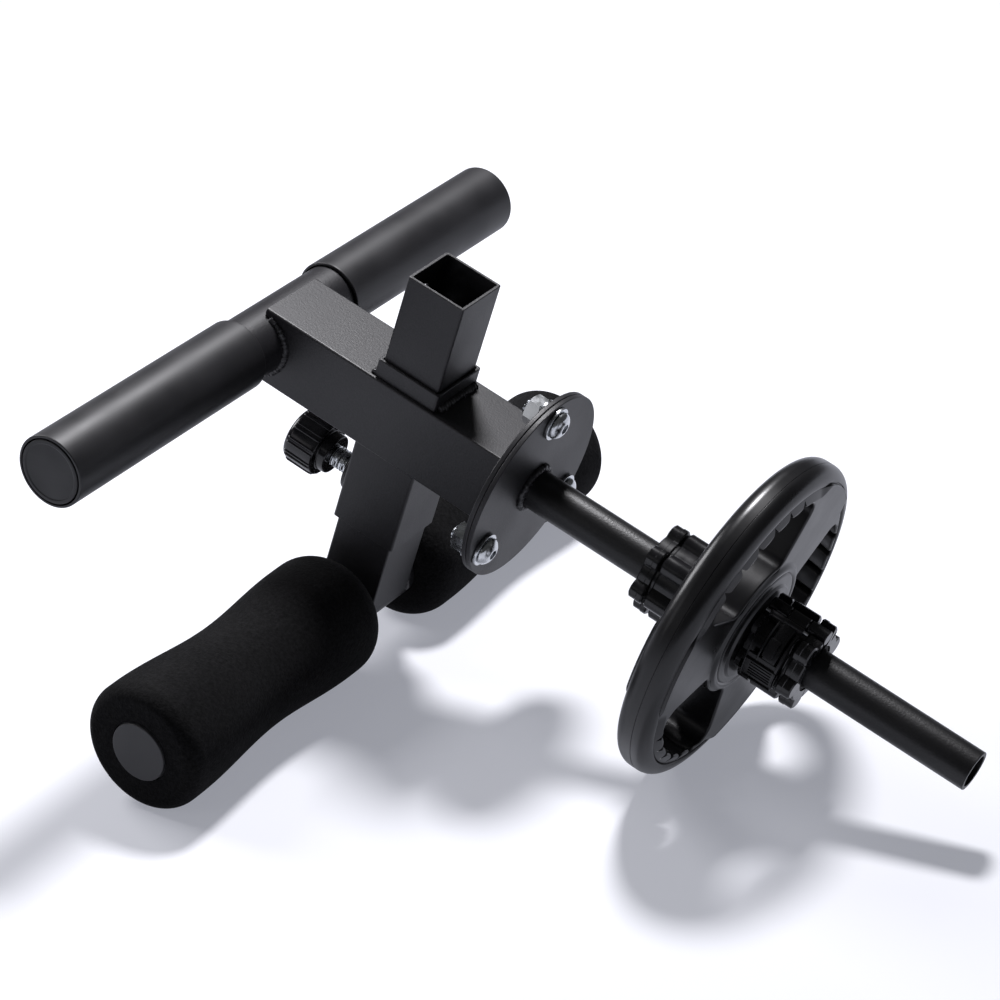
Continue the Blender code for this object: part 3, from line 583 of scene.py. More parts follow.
def makeHeelBar():
    half, radius, bore = heelBar["half"], heelBar["radius"], heelBar["bore"]
    finish(tube("heelBar", -half, half, radius, bore, (radius - bore) / 5), heelBarPlace, "powderCoat", "frame",
           ["heel_bar"])

    # The cap from its stem inside the bar, over its rim, down into the shallow dish of its face
    outer, stem, face, front = heelCap["radius"], heelCap["stem"], half + gap, half + heelCap["proud"]
    rim, dish = outer - heelCap["rim"], front - heelCap["dish"]
    for side, sign in sides:
        profile = [(half - heelCap["depth"], heelCap["tip"]), (half - heelCap["depth"] + 0.001, stem), (face, stem),
                   (face, outer)]
        profile += softened([(face, outer), (front, outer), (front, rim), (dish, rim - heelCap["dish"]),
                             (dish, 0.004)], heelCap["soft"], closed=False)[1:]
        profile.append((dish, 0.0005))
        thing = turned(f"heelBarCap{side.title()}", [(sign * x, r) for x, r in profile], 96, False)
        finish(thing, heelBarPlace, "heelCapPlastic", "frame", [f"heel_bar_cap_{side}"])

    lip = heelSleeve["lip"]
    for side, sign in sides:
        thing = tube(f"heelSleeve{side.title()}", sign * heelSleeve["start"], sign * heelSleeve["end"],
                     heelSleeve["radius"], heelSleeve["bore"], [lip, lip, 0.0003, 0.0003])
        finish(thing, heelBarPlace, "sleevePlastic", f"{side}_sleeve", [f"heel_sleeve_{side}"])


makeBeam()
makeFrameWelds()
makeGuide()
makeHeelBar()
print("frame made")


# Roller carriage

rollerPost = {"side": 0.040, "wall": 0.002, "top": 0.0987, "rim": 0.0004, "corner": 0.0016, "hole": 0.005,
              "pitch": 0.024, "above": 6, "below": 1}  # holes above and below the lock
rollerBar = {"radius": 0.019, "bore": 0.0165, "half": 0.2215, "soft": 0.0004}
rollerCap = {"radius": 0.0186, "stem": 0.0162, "tip": 0.0152, "depth": 0.012, "proud": 0.0023, "soft": 0.0007}
foam = {"Inner End": 0.0285, "Outer End": 0.2225, "Waist": 0.0358, "Waist Share": 0.47, "Inner Bulge": 0.040,
        "Outer Bulge": 0.041, "Inner Crest": 0.055, "Outer Crest": 0.207, "Inner Round": 0.018,
        "Outer Round": 0.010, "Rim Draw": 0.8, "Steps Along": 110, "Steps Round": 97}
foamBore = 0.0194


def makeCarriage():
    x, drop, saddle = layout["rollerPost"], layout["rollerBarDrop"], rollerBar["radius"] + gap
    thing = squareTube("rollerPost", rollerPost, drop, rollerPost["top"], "Z")
    thing.data.transform(postPlace)
    cutters = [rod(saddle, -0.04, 0.04, rollerBarPlace, 96)]
    face = x - rollerPost["side"] / 2
    for k in range(-rollerPost["below"], rollerPost["above"] + 1):
        height = layout["lockHeight"] + k * rollerPost["pitch"]
        cutters.append(rod(rollerPost["hole"], face - 0.004, face + 0.004, Matrix.Translation((0, 0, height)), 40))
    carve(thing, cutters)
    finish(thing, atFlange, "powderCoat", "roller_carriage", ["roller_post"])

    half = rollerBar["half"]
    finish(tube("rollerBar", -half, half, rollerBar["radius"], rollerBar["bore"], rollerBar["soft"]),
           rollerBarPlace, "powderCoat", "roller_carriage", ["roller_bar"])
    turns = [math.pi * k / 12 for k in range(13)]
    beads = [bead("saddle", [(x + saddle * math.cos(turn), sign * (rollerPost["side"] / 2 + gap),
                              drop + saddle * math.sin(turn)) for turn in turns], seed)
             for seed, sign in ((23.0, -1), (24.0, 1))]
    finishWelds("carriageWelds", beads, atFlange, "roller_carriage")

    stem, outer, face, front = rollerCap["stem"], rollerCap["radius"], half + gap, half + rollerCap["proud"]
    for side, sign in sides:
        profile = [(face - rollerCap["depth"], rollerCap["tip"]), (face - rollerCap["depth"] + 0.001, stem),
                   (face, stem)]
        profile += softened([(face, stem), (face, outer), (front, outer), (front, 0.006)],
                            [0, 0, rollerCap["soft"], 0], closed=False)[1:]
        profile.append((front, 0.0005))
        thing = turned(f"rollerBarCap{side.title()}", [(sign * px, r) for px, r in profile], 96, False)
        finish(thing, rollerBarPlace, "rollerCapPlastic", "roller_carriage", [f"roller_bar_cap_{side}"])


def makeFoam():
    for side, sign in sides:
        thing = grow(f"foamRoller{side.title()}", foamTree, dict(foam, Material=looks["foamSkin"]))
        # The tree gives the skin, open at both ends: the ends and the bore close it
        bm = bmesh.new()
        bm.from_mesh(thing.data)
        rims = {}
        for edge in [edge for edge in bm.edges if edge.is_boundary]:
            rims.setdefault(round(edge.verts[0].co.x, 3), []).append(edge)
        bores = []
        for edges in rims.values():
            turnOf = {vert: math.atan2(vert.co.z, vert.co.y) for edge in edges for vert in edge.verts}
            ring = sorted(turnOf, key=turnOf.get)
            bore = [bm.verts.new(around(vert.co.x, foamBore, turnOf[vert])) for vert in ring]
            for i in range(len(ring)):
                j = (i + 1) % len(ring)
                bm.faces.new((ring[i], ring[j], bore[j], bore[i]))
            bores.append(bore)
        one, two = bores
        for i in range(len(one)):
            j = (i + 1) % len(one)
            bm.faces.new((one[i], one[j], two[j], two[i]))
        bmesh.ops.recalc_face_normals(bm, faces=bm.faces)
        bm.to_mesh(thing.data)
        bm.free()
        spot = rollerBarPlace
        if sign < 0:
            spot = spot @ Matrix.Rotation(math.pi, 4, "Z")
        finish(thing, spot, "foamSkin", f"{side}_roller", [f"foam_roller_{side}"], angle=50)


makeCarriage()
makeFoam()
print("roller carriage made")


# Flange joint

flange = {"radius": 0.0615, "thickness": 0.003, "edge": 0.0006, "boltCircle": 0.0493, "boltHole": 0.0056,
          "count": 3}
bolt = {"radius": 0.005, "socket": 0.006, "socketDepth": 0.0032, "overhang": 0.003, "pitch": 0.0015,
        # the head as (height, radius)
        "head": ((0, 0.00845), (0.0003, 0.00875), (0.0012, 0.00875), (0.0022, 0.0084), (0.0034, 0.0074),
                 (0.0044, 0.0060), (0.0050, 0.0046), (0.0052, 0.0040))}
washer = {"radius": 0.0106, "bore": 0.0053, "thickness": 0.002, "soft": 0.0004}
nut = {"flats": 0.017, "thickness": 0.0084, "chamfer": 0.0012, "bore": 0.0052, "mouth": 0.0064}
flangeBack = -2 * flange["thickness"] - gap


def hexagonRing(flats, x, steps=24):
    corners = [Vector((math.cos(k * math.pi / 3), math.sin(k * math.pi / 3))) * (flats / math.sqrt(3))
               for k in range(7)]
    share = steps // 6
    return [Vector((x, *a.lerp(b, j / share))) for a, b in zip(corners, corners[1:]) for j in range(share)]


def makeFlanges():
    for name, node, low in (("postFlange", "post_flange", -flange["thickness"]),
                            ("beamFlange", "beam_flange", flangeBack)):
        high = low + flange["thickness"]
        profile = [(low, 0.0005)] + softened([(low, 0.002), (low, flange["radius"]), (high, flange["radius"]),
                                              (high, 0.002)], flange["edge"], closed=False) + [(high, 0.0005)]
        cutters = []
        for k in range(flange["count"]):
            spot = Matrix.Translation(around(0, flange["boltCircle"], math.radians(90 + 120 * k)))
            cutters.append(rod(flange["boltHole"], low - 0.002, high + 0.002, spot, 40))
        finish(carve(turned(name, profile, 128, False), cutters), atFlange, "powderCoat", "frame", [node])


def makeThreadOn(name, radius, length, pitch, ridge, start):
    thread = grow(name, threadTree, {"Radius": radius, "Length": length, "Pitch": pitch, "Ridge": ridge,
                                     "Material": looks["zincPlate"]})
    thread.data.transform(Matrix.Translation((start, 0, 0)) @ Matrix.Rotation(math.pi / 2, 4, "Y"))
    return thread


def makeFasteners():
    # One of each is made at the axis and copied round the bolt circle
    top = bolt["head"][-1][0]
    rings = [ringAt(0.0005, 0.001, 24), ringAt(0, bolt["radius"], 24)]
    rings += [ringAt(x, r, 24) for x, r in bolt["head"]]
    rings += [hexagonRing(bolt["socket"], x) for x in (top, top - bolt["socketDepth"])]
    head = lofted("boltHead", rings)
    low = washer["thickness"] + 2 * gap
    head.data.transform(Matrix.Translation((low, 0, 0)))

    washers = []
    for place in (gap, flangeBack - gap - washer["thickness"]):
        ring = tube("washerBlank", 0, washer["thickness"], washer["radius"], washer["bore"], washer["soft"], 2, 48)
        ring.data.transform(Matrix.Translation((place, 0, 0)))
        washers.append(ring)

    nutFace = flangeBack - washer["thickness"] - 2 * gap
    nutEnd = nutFace - nut["thickness"]
    body = lofted("nutBlank", [hexagonRing(nut["flats"], nutFace), hexagonRing(nut["flats"], nutEnd)])
    corner, flat, chamfer = nut["flats"] / math.sqrt(3) + 0.0003, nut["flats"] / 2 - 0.0001, nut["chamfer"]
    cone = turned("nutCone", [(nutFace, 0.0006), (nutFace, flat), (nutFace - chamfer, corner),
                              (nutEnd + chamfer, corner), (nutEnd, flat), (nutEnd, 0.0006)], 64, False)
    carve(body, [cone], "INTERSECT")
    carve(body, [turned("nutMouth", [(nutEnd - 0.001, nut["mouth"]), (nutEnd + 0.0009, nut["bore"]),
                                     (nutFace + 0.001, nut["bore"])], 40, False)])

    tip, core = nutEnd - bolt["overhang"], bolt["radius"] - 0.0007
    shank = turned("boltShank", [(low, core), (tip + 0.0006, core), (tip, core - 0.0007)], 32, False)
    thread = makeThreadOn("boltThread", bolt["radius"] - 0.0006, 0.006, bolt["pitch"], 0.0006, tip + 0.0004)
    joinInto(head, [shank, thread])
    for name, piece, node, tilt in (("flangeBolts", head, "flange_bolt", 0.7),
                                    ("headWashers", washers[0], "head_washer", 0.0),
                                    ("nutWashers", washers[1], "nut_washer", 0.0),
                                    ("flangeNuts", body, "flange_nut", 0.55)):
        thing = grow(name, copiesRound, {"Piece": piece, "Count": flange["count"], "Radius": flange["boltCircle"],
                                         "First Angle": math.pi / 2, "Angle Step": math.tau / 3, "Turn": 0.0,
                                         "Tilt Step": tilt, "Material": looks["zincPlate"]})
        bpy.data.objects.remove(piece, do_unlink=True)
        finish(thing, atFlange, "zincPlate", "frame", [f"{node}_{k}" for k in (1, 2, 3)])


weightPost = {"radius": 0.0125, "bore": 0.010, "length": 0.310, "soft": 0.0005}


def makeWeightPost():
    finish(tube("weightPost", gap, weightPost["length"], weightPost["radius"], weightPost["bore"],
                weightPost["soft"]), atFlange, "postCoat", "frame", ["weight_post"])
    ring = ringAt(0.0011, weightPost["radius"] + 0.0014, 60)
    finishWelds("postWeld", [bead("post", ring, 31.0, 0.5, True)], atFlange, "frame")


makeFlanges()
makeFasteners()
makeWeightPost()
print("flange joint made")


# Spring pin

lock = {"boss": 0.015, "bossLength": 0.0063, "bossBore": 0.0073, "barrel": 0.007, "barrelLength": 0.0255,
        "barrelBore": 0.0058, "rodHole": 0.0028, "pinHole": 0.0043, "pitch": 0.0019, "knob": 0.019,
        "knobCollar": 0.0065, "knobBody": 0.0225, "knobBore": 0.0075, "ribs": 11,
        "ribPair": 0.085}  # the turn of a pair's two ribs from its middle


def makeLockMount(wall):
    length, boss = lock["bossLength"], lock["boss"]
    thing = turned("lockBoss", softened([(wall - gap, boss), (wall - length, boss - 0.0008),
                                         (wall - length, lock["bossBore"]), (wall - gap, lock["bossBore"])],
                                        [0.0002, 0.0012, 0.0004, 0.0002]))
    finish(thing, lockPlace, "powderCoat", "frame", ["lock_boss"])
    ring = ringAt(wall - 0.0006, boss + 0.0006, 48)
    finishWelds("bossWeld", [bead("boss", ring, 37.0, 0.6, True)], lockPlace, "frame")


def makeLockBarrel(nose, rear):
    core, bore, wall = lock["barrel"] - 0.0007, lock["barrelBore"], 0.003
    barrel = turned("lockBarrel", softened([(nose, core), (rear, core), (rear, lock["rodHole"]),
                                            (rear + wall, lock["rodHole"]), (rear + wall, bore),
                                            (nose - wall, bore), (nose - wall, lock["pinHole"]),
                                            (nose, lock["pinHole"])], 0.0003, 2), 64)
    joinInto(barrel, [makeThreadOn("barrelThread", core, lock["barrelLength"] - 0.002, lock["pitch"], 0.0007,
                                   rear + 0.0012)])
    finish(barrel, lockPlace, "zincPlate", "frame", ["lock_barrel"])


def makeLockKnob(rear):
    knob, bore = lock["knob"], lock["knobBore"]
    face = rear + 0.0035
    body = face - lock["knobCollar"]
    back = body - lock["knobBody"]
    profile = [Vector((rear - 0.0085, 0.0006)), Vector((rear - 0.0085, bore))]  # the bore's closed end
    profile += softened([(face, bore), (face, 0.0130), (body, 0.0134), (body, knob - 0.0012),
                         (body - 0.0022, knob - 0.0008), (back + 0.0030, knob - 0.0010), (back + 0.0005, 0.0166),
                         (back, 0.0120)],
                        [0.0003, 0.0012, 0.0008, 0.0009, 0.0014, 0.0016, 0.0016, 0], closed=False)
    profile += [Vector((back - 0.0001, 0.005)), Vector((back - 0.0001, 0.0006))]
    thing = turned("lockKnob", profile, 96, False)
    outline = [math.tau * k / 10 for k in range(10)]
    rib = lofted("ribBlank", [[Vector((x, w * math.cos(t) * 0.0009, knob - drop + w * math.sin(t) * 0.0011))
                               for t in outline]
                              for x, w, drop in ((body - 0.0002, 0.3, 0.0014), (body - 0.0012, 0.85, 0.0012),
                                                 (body - 0.003, 1.0, 0.0011), (back + 0.0044, 1.0, 0.0011),
                                                 (back + 0.0028, 0.85, 0.0016), (back + 0.0018, 0.3, 0.0026))])
    rib.data.transform(Matrix.Rotation(-math.pi / 2, 4, "X"))
    ribs = [grow("ribs", copiesRound, {"Piece": rib, "Count": lock["ribs"], "Radius": 0.0, "First Angle": shift,
                                       "Angle Step": math.tau / lock["ribs"], "Turn": 1.0, "Tilt Step": 0.0,
                                       "Material": looks["glossPlastic"]})
            for shift in (-lock["ribPair"], lock["ribPair"])]
    bpy.data.objects.remove(rib, do_unlink=True)
    joinInto(thing, ribs)
    finish(thing, lockPlace, "glossPlastic", "pull_knob", ["lock_knob"], angle=45)


guideWall = layout["rollerPost"] - guide["side"] / 2
barrelNose = guideWall + guide["wall"] - 0.0006
barrelRear = barrelNose - lock["barrelLength"]
makeLockMount(guideWall)
makeLockBarrel(barrelNose, barrelRear)
makeLockKnob(barrelRear)
print("spring pin made")


# Weight plate. A half is measured from the plate's middle to a face, and angles are in degrees

plate = {
    "radius": 0.1045, "rimHalf": 0.0115, "rimRound": 0.009, "webHalf": 0.0128, "stripEdge": 0.0890,
    "lip": 0.0943, "creaseHalf": 0.0104, "lipReach": 0.0025, "spokeShare": (13.0, 21.0), "hubHalf": 0.017,
    "bore": 0.0173, "ring": 0.0415, "ringLobe": 0.0012, "ringHalf": 0.0150, "spokesAt": 50.0,
    "grips": (110.0, 230.0, 350.0), "gripInner": 0.0435, "gripOuter": 0.0872, "innerTurn": 33.0,
    "outerTurn": 37.5, "gripCorner": 0.0085, "grooves": (-25.25, -15.15, -5.05, 5.05, 15.15, 25.25),
    "grooveReach": 31.0, "groovePitch": 10.1, "grooveDepth": 0.0050, "grooveWidth": 0.0013,
    "pillow": 0.0009, "hollow": 0.0020, "edgeRound": 0.0014,
    # the ring round the hub, as (distance from its middle, share of the drop to the web)
    "ringSection": ((-0.0062, 0.0), (-0.0052, 0.05), (-0.0046, 0.25), (-0.0041, 0.45), (-0.0036, 0.25),
                    (-0.0030, 0.05), (-0.0018, 0.0), (-0.0009, 0.05), (-0.0002, 0.22), (0.0005, 0.52),
                    (0.0012, 0.83), (0.0019, 0.98), (0.0026, 1.0)),
    # the seam round the rim's middle, as (along, depth)
    "seam": ((0.0023, 0.0), (0.00215, 0.0003), (0.0018, 0.0003), (0.00165, 0.0)), "steps": 360,
}


def smoothStep(low, high, value):
    t = min(1.0, max(0.0, (value - low) / (high - low)))
    return t * t * (3 - 2 * t)


def gripOutline(grow, wide, hollow):
    # One grip hole round its own middle line, grown outwards: arcs, rounded corners, sides along the spokes
    corner = plate["gripCorner"] + grow
    outer, inner = plate["gripOuter"] - plate["gripCorner"], plate["gripInner"] + plate["gripCorner"]
    far = math.radians(plate["outerTurn"]) - math.asin(plate["gripCorner"] / outer)
    near = math.radians(plate["innerTurn"]) - math.asin(plate["gripCorner"] / inner)
    side = math.atan2(outer * math.sin(far) - inner * math.sin(near),
                      outer * math.cos(far) - inner * math.cos(near)) + math.pi / 2

    def bend(radius, place, first, last, steps):
        middle = Vector((radius * math.cos(place), radius * math.sin(place)))
        turns = [first + (last - first) * k / steps for k in range(1, steps + 1)]
        return [middle + corner * Vector((math.cos(t), math.sin(t))) for t in turns]

    right = bend(outer, far, far, side, 12) + bend(inner, near, side, math.pi + near, 10)
    left = [Vector((p.x, -p.y)) for p in reversed(right)]
    foot = plate["gripInner"] - grow
    base = [foot * Vector((math.cos(near * (1 - k / 12)), math.sin(near * (1 - k / 12)))) for k in range(1, 24)]
    wall = []
    for k in range(301):
        turn = -far + 2 * far * k / 300
        degrees = math.degrees(turn)
        radius = plate["gripOuter"] + grow + hollow * smoothStep(0, 6, math.degrees(far) - abs(degrees))
        if abs(degrees) < plate["grooveReach"]:
            gaps = [(degrees - groove) / math.degrees(wide / radius) for groove in plate["grooves"]]
            radius += plate["grooveDepth"] * sum(math.exp(-away * away) for away in gaps)
            if abs(degrees) < plate["grooves"][-1]:
                radius -= plate["pillow"] * math.cos(math.pi * degrees / plate["groovePitch"]) ** 2
        wall.append(Vector((radius * math.cos(turn), radius * math.sin(turn))))
    return wall + right + base + left


def gripCutter(centre):
    # Through the plate, wider at both faces where the hole's edge is rounded
    half, edge, wide = plate["webHalf"], plate["edgeRound"], plate["grooveWidth"]
    stations = [(0.022, edge, 1.5 * wide, 0.0), (half + 0.0004, edge, 1.5 * wide, 0.0)]
    for k in range(6):
        t = k / 5 * math.pi / 2
        stations.append((half - edge * (1 - math.cos(t)), edge * (1 - math.sin(t)), wide * (1.5 - 0.5 * k / 5), 0.0))
    for k in range(1, 6):
        x = (half - edge) * (1 - k / 5)
        stations.append((x, 0.0, wide, plate["hollow"] * math.sin(k / 5 * math.pi / 2)))
    stations += [(-x, grow, notch, hollow) for x, grow, notch, hollow in reversed(stations[:-1])]
    turn = Matrix.Rotation(centre, 2)
    return lofted("gripCutter", [[Vector((x, *(turn @ point))) for point in gripOutline(grow, notch, hollow)]
                                 for x, grow, notch, hollow in stations])


def plateSection(turn):
    # (x, radius) from the bore over the front face to the rim's middle, at one angle round the plate
    away = abs((math.degrees(turn) - plate["spokesAt"] + 60) % 120 - 60)
    spoke = 1 - smoothStep(*plate["spokeShare"], away)  # 1 on a spoke, 0 beside a grip
    ring = plate["ring"] + plate["ringLobe"] * math.cos(3 * math.radians(away))
    lip = plate["lip"] + plate["lipReach"] * spoke
    edge = plate["stripEdge"] + (lip - 0.0014 - plate["stripEdge"]) * spoke
    hub, high, web, top = plate["hubHalf"], plate["ringHalf"], plate["webHalf"], plate["rimHalf"]
    rimRound = plate["rimRound"]
    middle, arc = top - rimRound, plate["radius"] - rimRound
    low = plate["creaseHalf"] + (web - plate["creaseHalf"]) * spoke  # the crease beside a grip fades on a spoke
    section = [(hub, plate["bore"]), (hub, plate["bore"] + 0.0008), (hub, 0.0290), (hub - 0.0002, 0.0302),
               (hub - 0.0010, 0.0311), (high + 0.0004, 0.0316), (high + 0.0001, 0.0326)]
    section += [(high - (high - web) * share, ring + offset) for offset, share in plate["ringSection"]]
    start = ring + plate["ringSection"][-1][0]
    section += [(web, start + (edge - 0.0008 - start) * k / 4) for k in range(1, 5)]
    rimStart = lip + 0.0012
    section += [(web - 0.0002 * (1 - spoke), edge), (low + 0.0002, lip - 0.0010), (low, lip - 0.0007),
                (min(low, top) - 0.0008, lip - 0.0002), (top - 0.0009, lip + 0.0002), (top - 0.0003, lip + 0.0006),
                (middle + math.sqrt(rimRound ** 2 - max(0.0, rimStart - arc) ** 2), rimStart)]
    first = math.asin(max(0.0, rimStart - arc) / rimRound)
    for k in range(1, 15):
        t = first + (math.pi / 2 - first) * k / 14
        section.append((middle + rimRound * math.cos(t), arc + rimRound * math.sin(t)))
    return section


def makePlate():
    turns = [math.tau * k / plate["steps"] for k in range(plate["steps"])]
    sections = [plateSection(turn) for turn in turns]
    rows = [[around(*section[k], turn) for section, turn in zip(sections, turns)] for k in range(len(sections[0]))]
    seam = [[around(x, plate["radius"] - depth, turn) for turn in turns] for x, depth in plate["seam"]]
    back = [[Vector((-p.x, p.y, p.z)) for p in row] for row in reversed(rows)]
    thing = lofted("weightPlate", rows + seam + back, True)
    carve(thing, [gripCutter(math.radians(centre)) for centre in plate["grips"]])
    finish(thing, platePlace, "plateRubber", "plate", ["weight_plate"], angle=32)


makePlate()
print("weight plate made")


# Clamping collars. Both are made alike from the plate outwards, with angles counted from the hinge pin

collar = {
    "bore": 0.0154, "lobeRing": 0.0215, "hingeRing": 0.0222, "knuckle": 0.0046, "clear": 14.0, "split": 178.5,
    "pivotRing": 0.0266, "pivotTurn": 24.0, "pivotRadius": 0.0017, "pivotSpan": (0.0046, 0.0269),
    "recess": (0.0042, 0.0273, 17.2, 119.0), "floor": 0.0213,
    "bodyEyes": ((0.0002, 0.0127), (0.0263, 0.0388)), "jawEye": (0.0133, 0.0257),
    "slot": {"ring": 0.0221, "long": 0.0033, "wide": 0.0011, "turn": -25.0, "span": (0.0345, 0.040)},
    # along the collar, radius between the lobes, radius of the lobes
    "stations": ((0.0003, 0.0216, 0.0056), (0.0011, 0.0224, 0.0066), (0.0082, 0.0224, 0.0066),
                 (0.0088, 0.0218, 0.0058), (0.0089, 0.0216, 0.0), (0.0094, 0.0216, 0.0), (0.0095, 0.0218, 0.0060),
                 (0.0103, 0.0224, 0.0070), (0.0268, 0.0224, 0.0070), (0.0276, 0.0218, 0.0062),
                 (0.0278, 0.0216, 0.0), (0.0292, 0.0216, 0.0), (0.0294, 0.0220, 0.0062), (0.0302, 0.0227, 0.0070),
                 (0.0331, 0.0227, 0.0070), (0.0335, 0.0224, 0.0066), (0.0380, 0.0224, 0.0066),
                 (0.0388, 0.0216, 0.0056)),
}
collars = {"outer": {"start": 0.1626, "handed": 1, "hinge": 85.0, "lobesAt": 45.0},
           "inner": {"start": 0.1274, "handed": -1, "hinge": 35.0, "lobesAt": 25.0}}
# Pieces of a lever: low and high along the collar, inner and outer radius, first and last angle
leverParts = [
    (0.0149, 0.0234, 0.0252, 0.0272, 24.5, 88.0), (0.0146, 0.0209, 0.0266, 0.0291, 51.5, 76.0),
    (0.0252, 0.0270, 0.0252, 0.0284, 33.0, 88.0), (0.0120, 0.0132, 0.0252, 0.0276, 30.0, 88.0),
    (0.0064, 0.0270, 0.0252, 0.0275, 80.0, 88.0), (0.0064, 0.0270, 0.0252, 0.0281, 87.0, 116.0),
    (0.0064, 0.0073, 0.0278, 0.0291, 87.0, 116.0), (0.0261, 0.0270, 0.0278, 0.0291, 87.0, 116.0),
    (0.0064, 0.0270, 0.0278, 0.0291, 87.0, 88.6), (0.0064, 0.0270, 0.0278, 0.0291, 114.4, 116.0),
    (0.0046, 0.0149, 0.0252, 0.0275, 24.5, 29.0), (0.0234, 0.0269, 0.0252, 0.0275, 24.5, 29.0),
]
leverRibs = (91.5, 95.5, 99.5, 103.5, 107.5)
leverParts += [(0.0104, 0.0249, 0.0278, 0.0287, turn - 0.65, turn + 0.65) for turn in leverRibs]


def shellHalf(name, side, lobesAt):
    first, last = side * collar["clear"], side * collar["split"]
    lobeRing = collar["lobeRing"]
    rings = []
    for along, valley, lobe in collar["stations"]:
        ring = []
        for k in range(137):
            degrees = first + (last - first) * k / 136
            swing = math.radians(abs((degrees - lobesAt + 30) % 60 - 30))
            offset = lobeRing * math.sin(swing)
            radius = valley
            if offset < lobe:
                radius = max(valley, lobeRing * math.cos(swing) + math.sqrt(lobe * lobe - offset * offset))
            ring.append(around(along, radius, math.radians(degrees)))
        for k in range(40, -1, -1):
            ring.append(around(along, collar["bore"], math.radians(first + (last - first) * k / 40)))
        rings.append(ring)
    return lofted(name, rings)


def sectorPiece(name, low, high, inner, outer, first, last, edge=0.00035):
    # Part of a ring with soft edges, between two angles
    rings = []
    ease = math.degrees(edge / outer)
    turns = [first + ease + (last - first - 2 * ease) * k / 16 for k in range(17)]
    for degrees, cut in [(first, edge)] + [(turn, 0.0) for turn in turns] + [(last, edge)]:
        outline = softened([(low + cut, inner + cut), (high - cut, inner + cut), (high - cut, outer - cut),
                            (low + cut, outer - cut)], edge, 2)
        rings.append([around(along, radius, math.radians(degrees)) for along, radius in outline])
    return lofted(name, rings)


def knuckle(low, high, side):
    # One eye of the hinge, with the bridge that carries it
    ease, ring, eyeRadius = 0.0004, collar["hingeRing"], collar["knuckle"]
    eye = turned("eye", [(low, 0.0005), (low, eyeRadius - ease), (low + ease, eyeRadius), (high - ease, eyeRadius),
                         (high, eyeRadius - ease), (high, 0.0005)], 40, False)
    eye.data.transform(Matrix.Translation(around(0, ring, math.radians(0.5 * side))))
    first, last = sorted((side * 2.0, side * (collar["clear"] + 3)))
    return joinInto(eye, [sectorPiece("bridge", low + 0.0002, high - 0.0002, ring - 0.0025, ring + 0.0025, first,
                                      last)])


def makeCollar(name):
    spec = collars[name]
    spot = Matrix.Translation((spec["start"], 0, 0)) @ Matrix.Rotation(math.radians(spec["hinge"]), 4, "X")
    if spec["handed"] < 0:
        spot = spot @ Matrix.Rotation(math.pi, 4, "Y")
    body = shellHalf(f"{name}CollarBody", -1, spec["lobesAt"])
    slot, oval = collar["slot"], [math.tau * k / 24 for k in range(24)]
    cutter = lofted("cutter", [[Vector((along, slot["ring"] + slot["long"] * math.cos(t), slot["wide"] * math.sin(t)))
                                for t in oval] for along in slot["span"]])
    cutter.data.transform(Matrix.Rotation(math.radians(slot["turn"]), 4, "X"))
    carve(body, [cutter])
    joinInto(body, [knuckle(*span, -1) for span in collar["bodyEyes"]])
    finish(body, spot, "glossPlastic", f"{name}_collar", [f"{name}_collar_body"], angle=30)

    low, high, first, last = collar["recess"]
    jaw = shellHalf(f"{name}CollarJaw", 1, spec["lobesAt"])
    carve(jaw, [sectorPiece("cutter", low, high, collar["floor"], 0.034, first, last, 0.0003)])
    joinInto(jaw, [knuckle(*collar["jawEye"], 1)])
    finish(jaw, spot, "glossPlastic", f"{name}_jaw", [f"{name}_collar_jaw"], angle=30)

    (low, high), radius = collar["pivotSpan"], collar["pivotRadius"]
    pivot = turned("pivot", [(low, 0.0004), (low, radius), (high, radius), (high, 0.0004)], 24, False)
    pivot.data.transform(Matrix.Translation(around(0, collar["pivotRing"], math.radians(collar["pivotTurn"]))))
    parts = [sectorPiece(f"{name}LeverPart", *part) for part in leverParts]
    lever = joinInto(parts[0], parts[1:] + [pivot])
    lever.name = f"{name}CollarLever"
    finish(lever, spot, "satinPlastic", f"{name}_lever", [f"{name}_collar_lever"], angle=30)


for collarName in collars:
    makeCollar(collarName)
print("collars made")


# The remaining CAD pieces keep their shapes and take a finish

carriedOver = {
    "turnedSteel": ["lock_pin", "lock_spring", "plate_bushing", "outer_collar_hinge_pin", "inner_collar_hinge_pin",
                    "outer_collar_lever_pin", "inner_collar_lever_pin"],
    "padRubber": ["outer_collar_body_pad", "outer_collar_jaw_pad", "inner_collar_body_pad", "inner_collar_jaw_pad"],
}
for look, nodes in carriedOver.items():
    for node in nodes:
        mesh = frame["nodes"][node].data
        mesh.materials.clear()
        mesh.materials.append(looks[look])


# Floor, light and camera

studio = {
    "floorSize": 12.0, "floorSeen": (0.96, 0.965, 0.99), "floorBounce": (0.56, 0.57, 0.61),
    # the floor's own glow: its share near the object, its colour, and its strength from near to far
    "floorGlow": 0.34, "glowColour": (0.86, 0.885, 1.0), "glowStrength": (1.0, 1.13), "fade": (0.9, 2.2),
    "worldColour": (0.96, 0.98, 1.0), "worldStrength": 0.05,
    "lampColour": (0.97, 0.965, 1.0), "lampsLookAt": (0.0, 0.0, 0.1),
    "lamps": {"key": {"place": (-0.38, 0.8, 1.98), "size": 0.40, "power": 54.0},
              "side": {"place": (-1.35, -0.1, 1.0), "size": 0.8, "power": 14.0},
              "front": {"place": (-0.7, -1.6, 1.0), "size": 1.0, "power": 1.5}},
}
# In the machine's own space, as it was fitted to the photograph
view = {"place": (0.61206, -1.47393, 1.22458), "forward": (-0.30839, 0.72461, -0.61631),
        "right": (0.79745, 0.55016, 0.24780), "down": (0.51862, -0.41505, -0.74751), "lens": 122.74,
        "shiftY": 0.01}


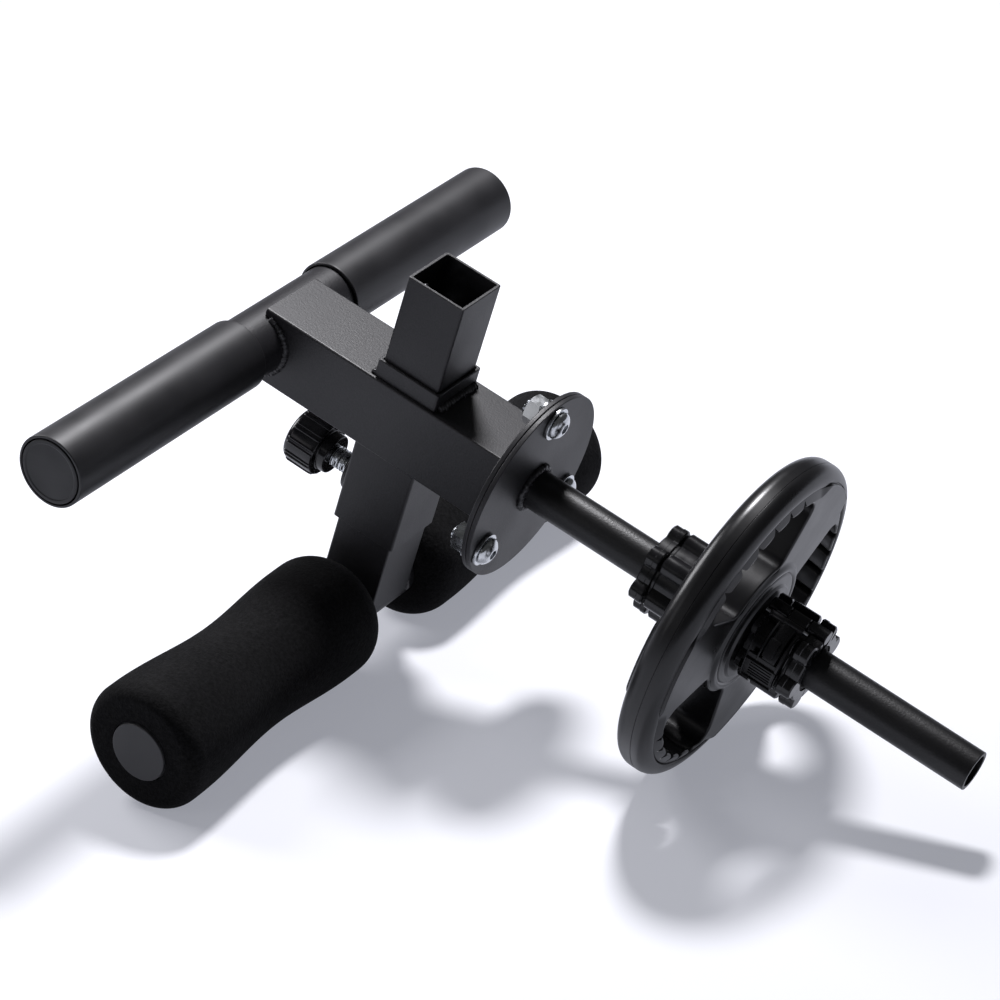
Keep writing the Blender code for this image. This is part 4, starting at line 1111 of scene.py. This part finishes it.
def makeFloor():
    mesh = bpy.data.meshes.new("studioFloor")
    half = studio["floorSize"] / 2
    mesh.from_pydata([(-half, -half, 0), (half, -half, 0), (half, half, 0), (-half, half, 0)], [], [(0, 1, 2, 3)])
    floor = newObject("studioFloor", mesh)
    material = bpy.data.materials.new("studioFloor")
    material.use_nodes = True
    tree = material.node_tree
    tree.nodes.clear()
    seenPlain, bouncePlain = [made(tree, "ShaderNodeBsdfDiffuse", {"Color": (*studio[tone], 1.0)})
                              for tone in ("floorSeen", "floorBounce")]
    place = addNode(tree, "ShaderNodeTexCoord").outputs["Object"]
    distance = addNode(tree, "ShaderNodeVectorMath", {0: place}, operation="LENGTH").outputs["Value"]
    strength = spread(tree, distance, *studio["fade"], *studio["glowStrength"])
    glow = made(tree, "ShaderNodeEmission", {"Color": (*studio["glowColour"], 1.0), "Strength": strength})
    glowShare = spread(tree, distance, *studio["fade"], studio["floorGlow"], 1.0)
    ray = addNode(tree, "ShaderNodeLightPath")
    camera, glossy, through = [Field(tree, ray.outputs[f"Is {kind} Ray"])
                               for kind in ("Camera", "Glossy", "Transmission")]
    share = camera.through("MAXIMUM", glossy).through("MAXIMUM", through) * glowShare
    plain = made(tree, "ShaderNodeMixShader", {0: camera, 1: bouncePlain, 2: seenPlain})
    mixed = made(tree, "ShaderNodeMixShader", {0: share, 1: plain, 2: glow})
    addNode(tree, "ShaderNodeOutputMaterial", {"Surface": mixed})
    mesh.materials.append(material)


def makeLamp(name, spec):
    light = bpy.data.lights.new(name, "AREA")
    light.shape = "DISK"
    light.size = spec["size"]
    light.energy = spec["power"]
    light.color = studio["lampColour"]
    lamp = newObject(name, light)
    lamp.location = spec["place"]
    towards = Vector(studio["lampsLookAt"]) - Vector(spec["place"])
    lamp.rotation_euler = towards.to_track_quat("-Z", "Y").to_euler()


def makeWorld():
    world = bpy.data.worlds.new("studioWorld")
    bpy.context.scene.world = world
    world.use_nodes = True
    tree = world.node_tree
    back = tree.nodes["Background"]
    back.inputs["Color"].default_value = (*studio["worldColour"], 1.0)
    camera = Field(tree, addNode(tree, "ShaderNodeLightPath").outputs["Is Camera Ray"])
    strength = camera * (1.0 - studio["worldStrength"]) + studio["worldStrength"]
    tree.links.new(strength.socket, back.inputs["Strength"])


def makeCamera():
    camera = newObject("photoCamera", bpy.data.cameras.new("photoCamera"))
    turn = Matrix((Vector(view["right"]), -Vector(view["down"]), -Vector(view["forward"]))).transposed()
    camera.matrix_world = machine @ Matrix.Translation(view["place"]) @ turn.to_4x4()
    camera.data.lens = view["lens"]
    camera.data.sensor_width = 36.0
    camera.data.shift_y = view["shiftY"]
    bpy.context.scene.camera = camera


makeFloor()
for lampName, lampSpec in studio["lamps"].items():
    makeLamp(lampName, lampSpec)
makeWorld()
makeCamera()
bpy.context.scene.view_settings.view_transform = "Standard"
print("floor, light and camera set")
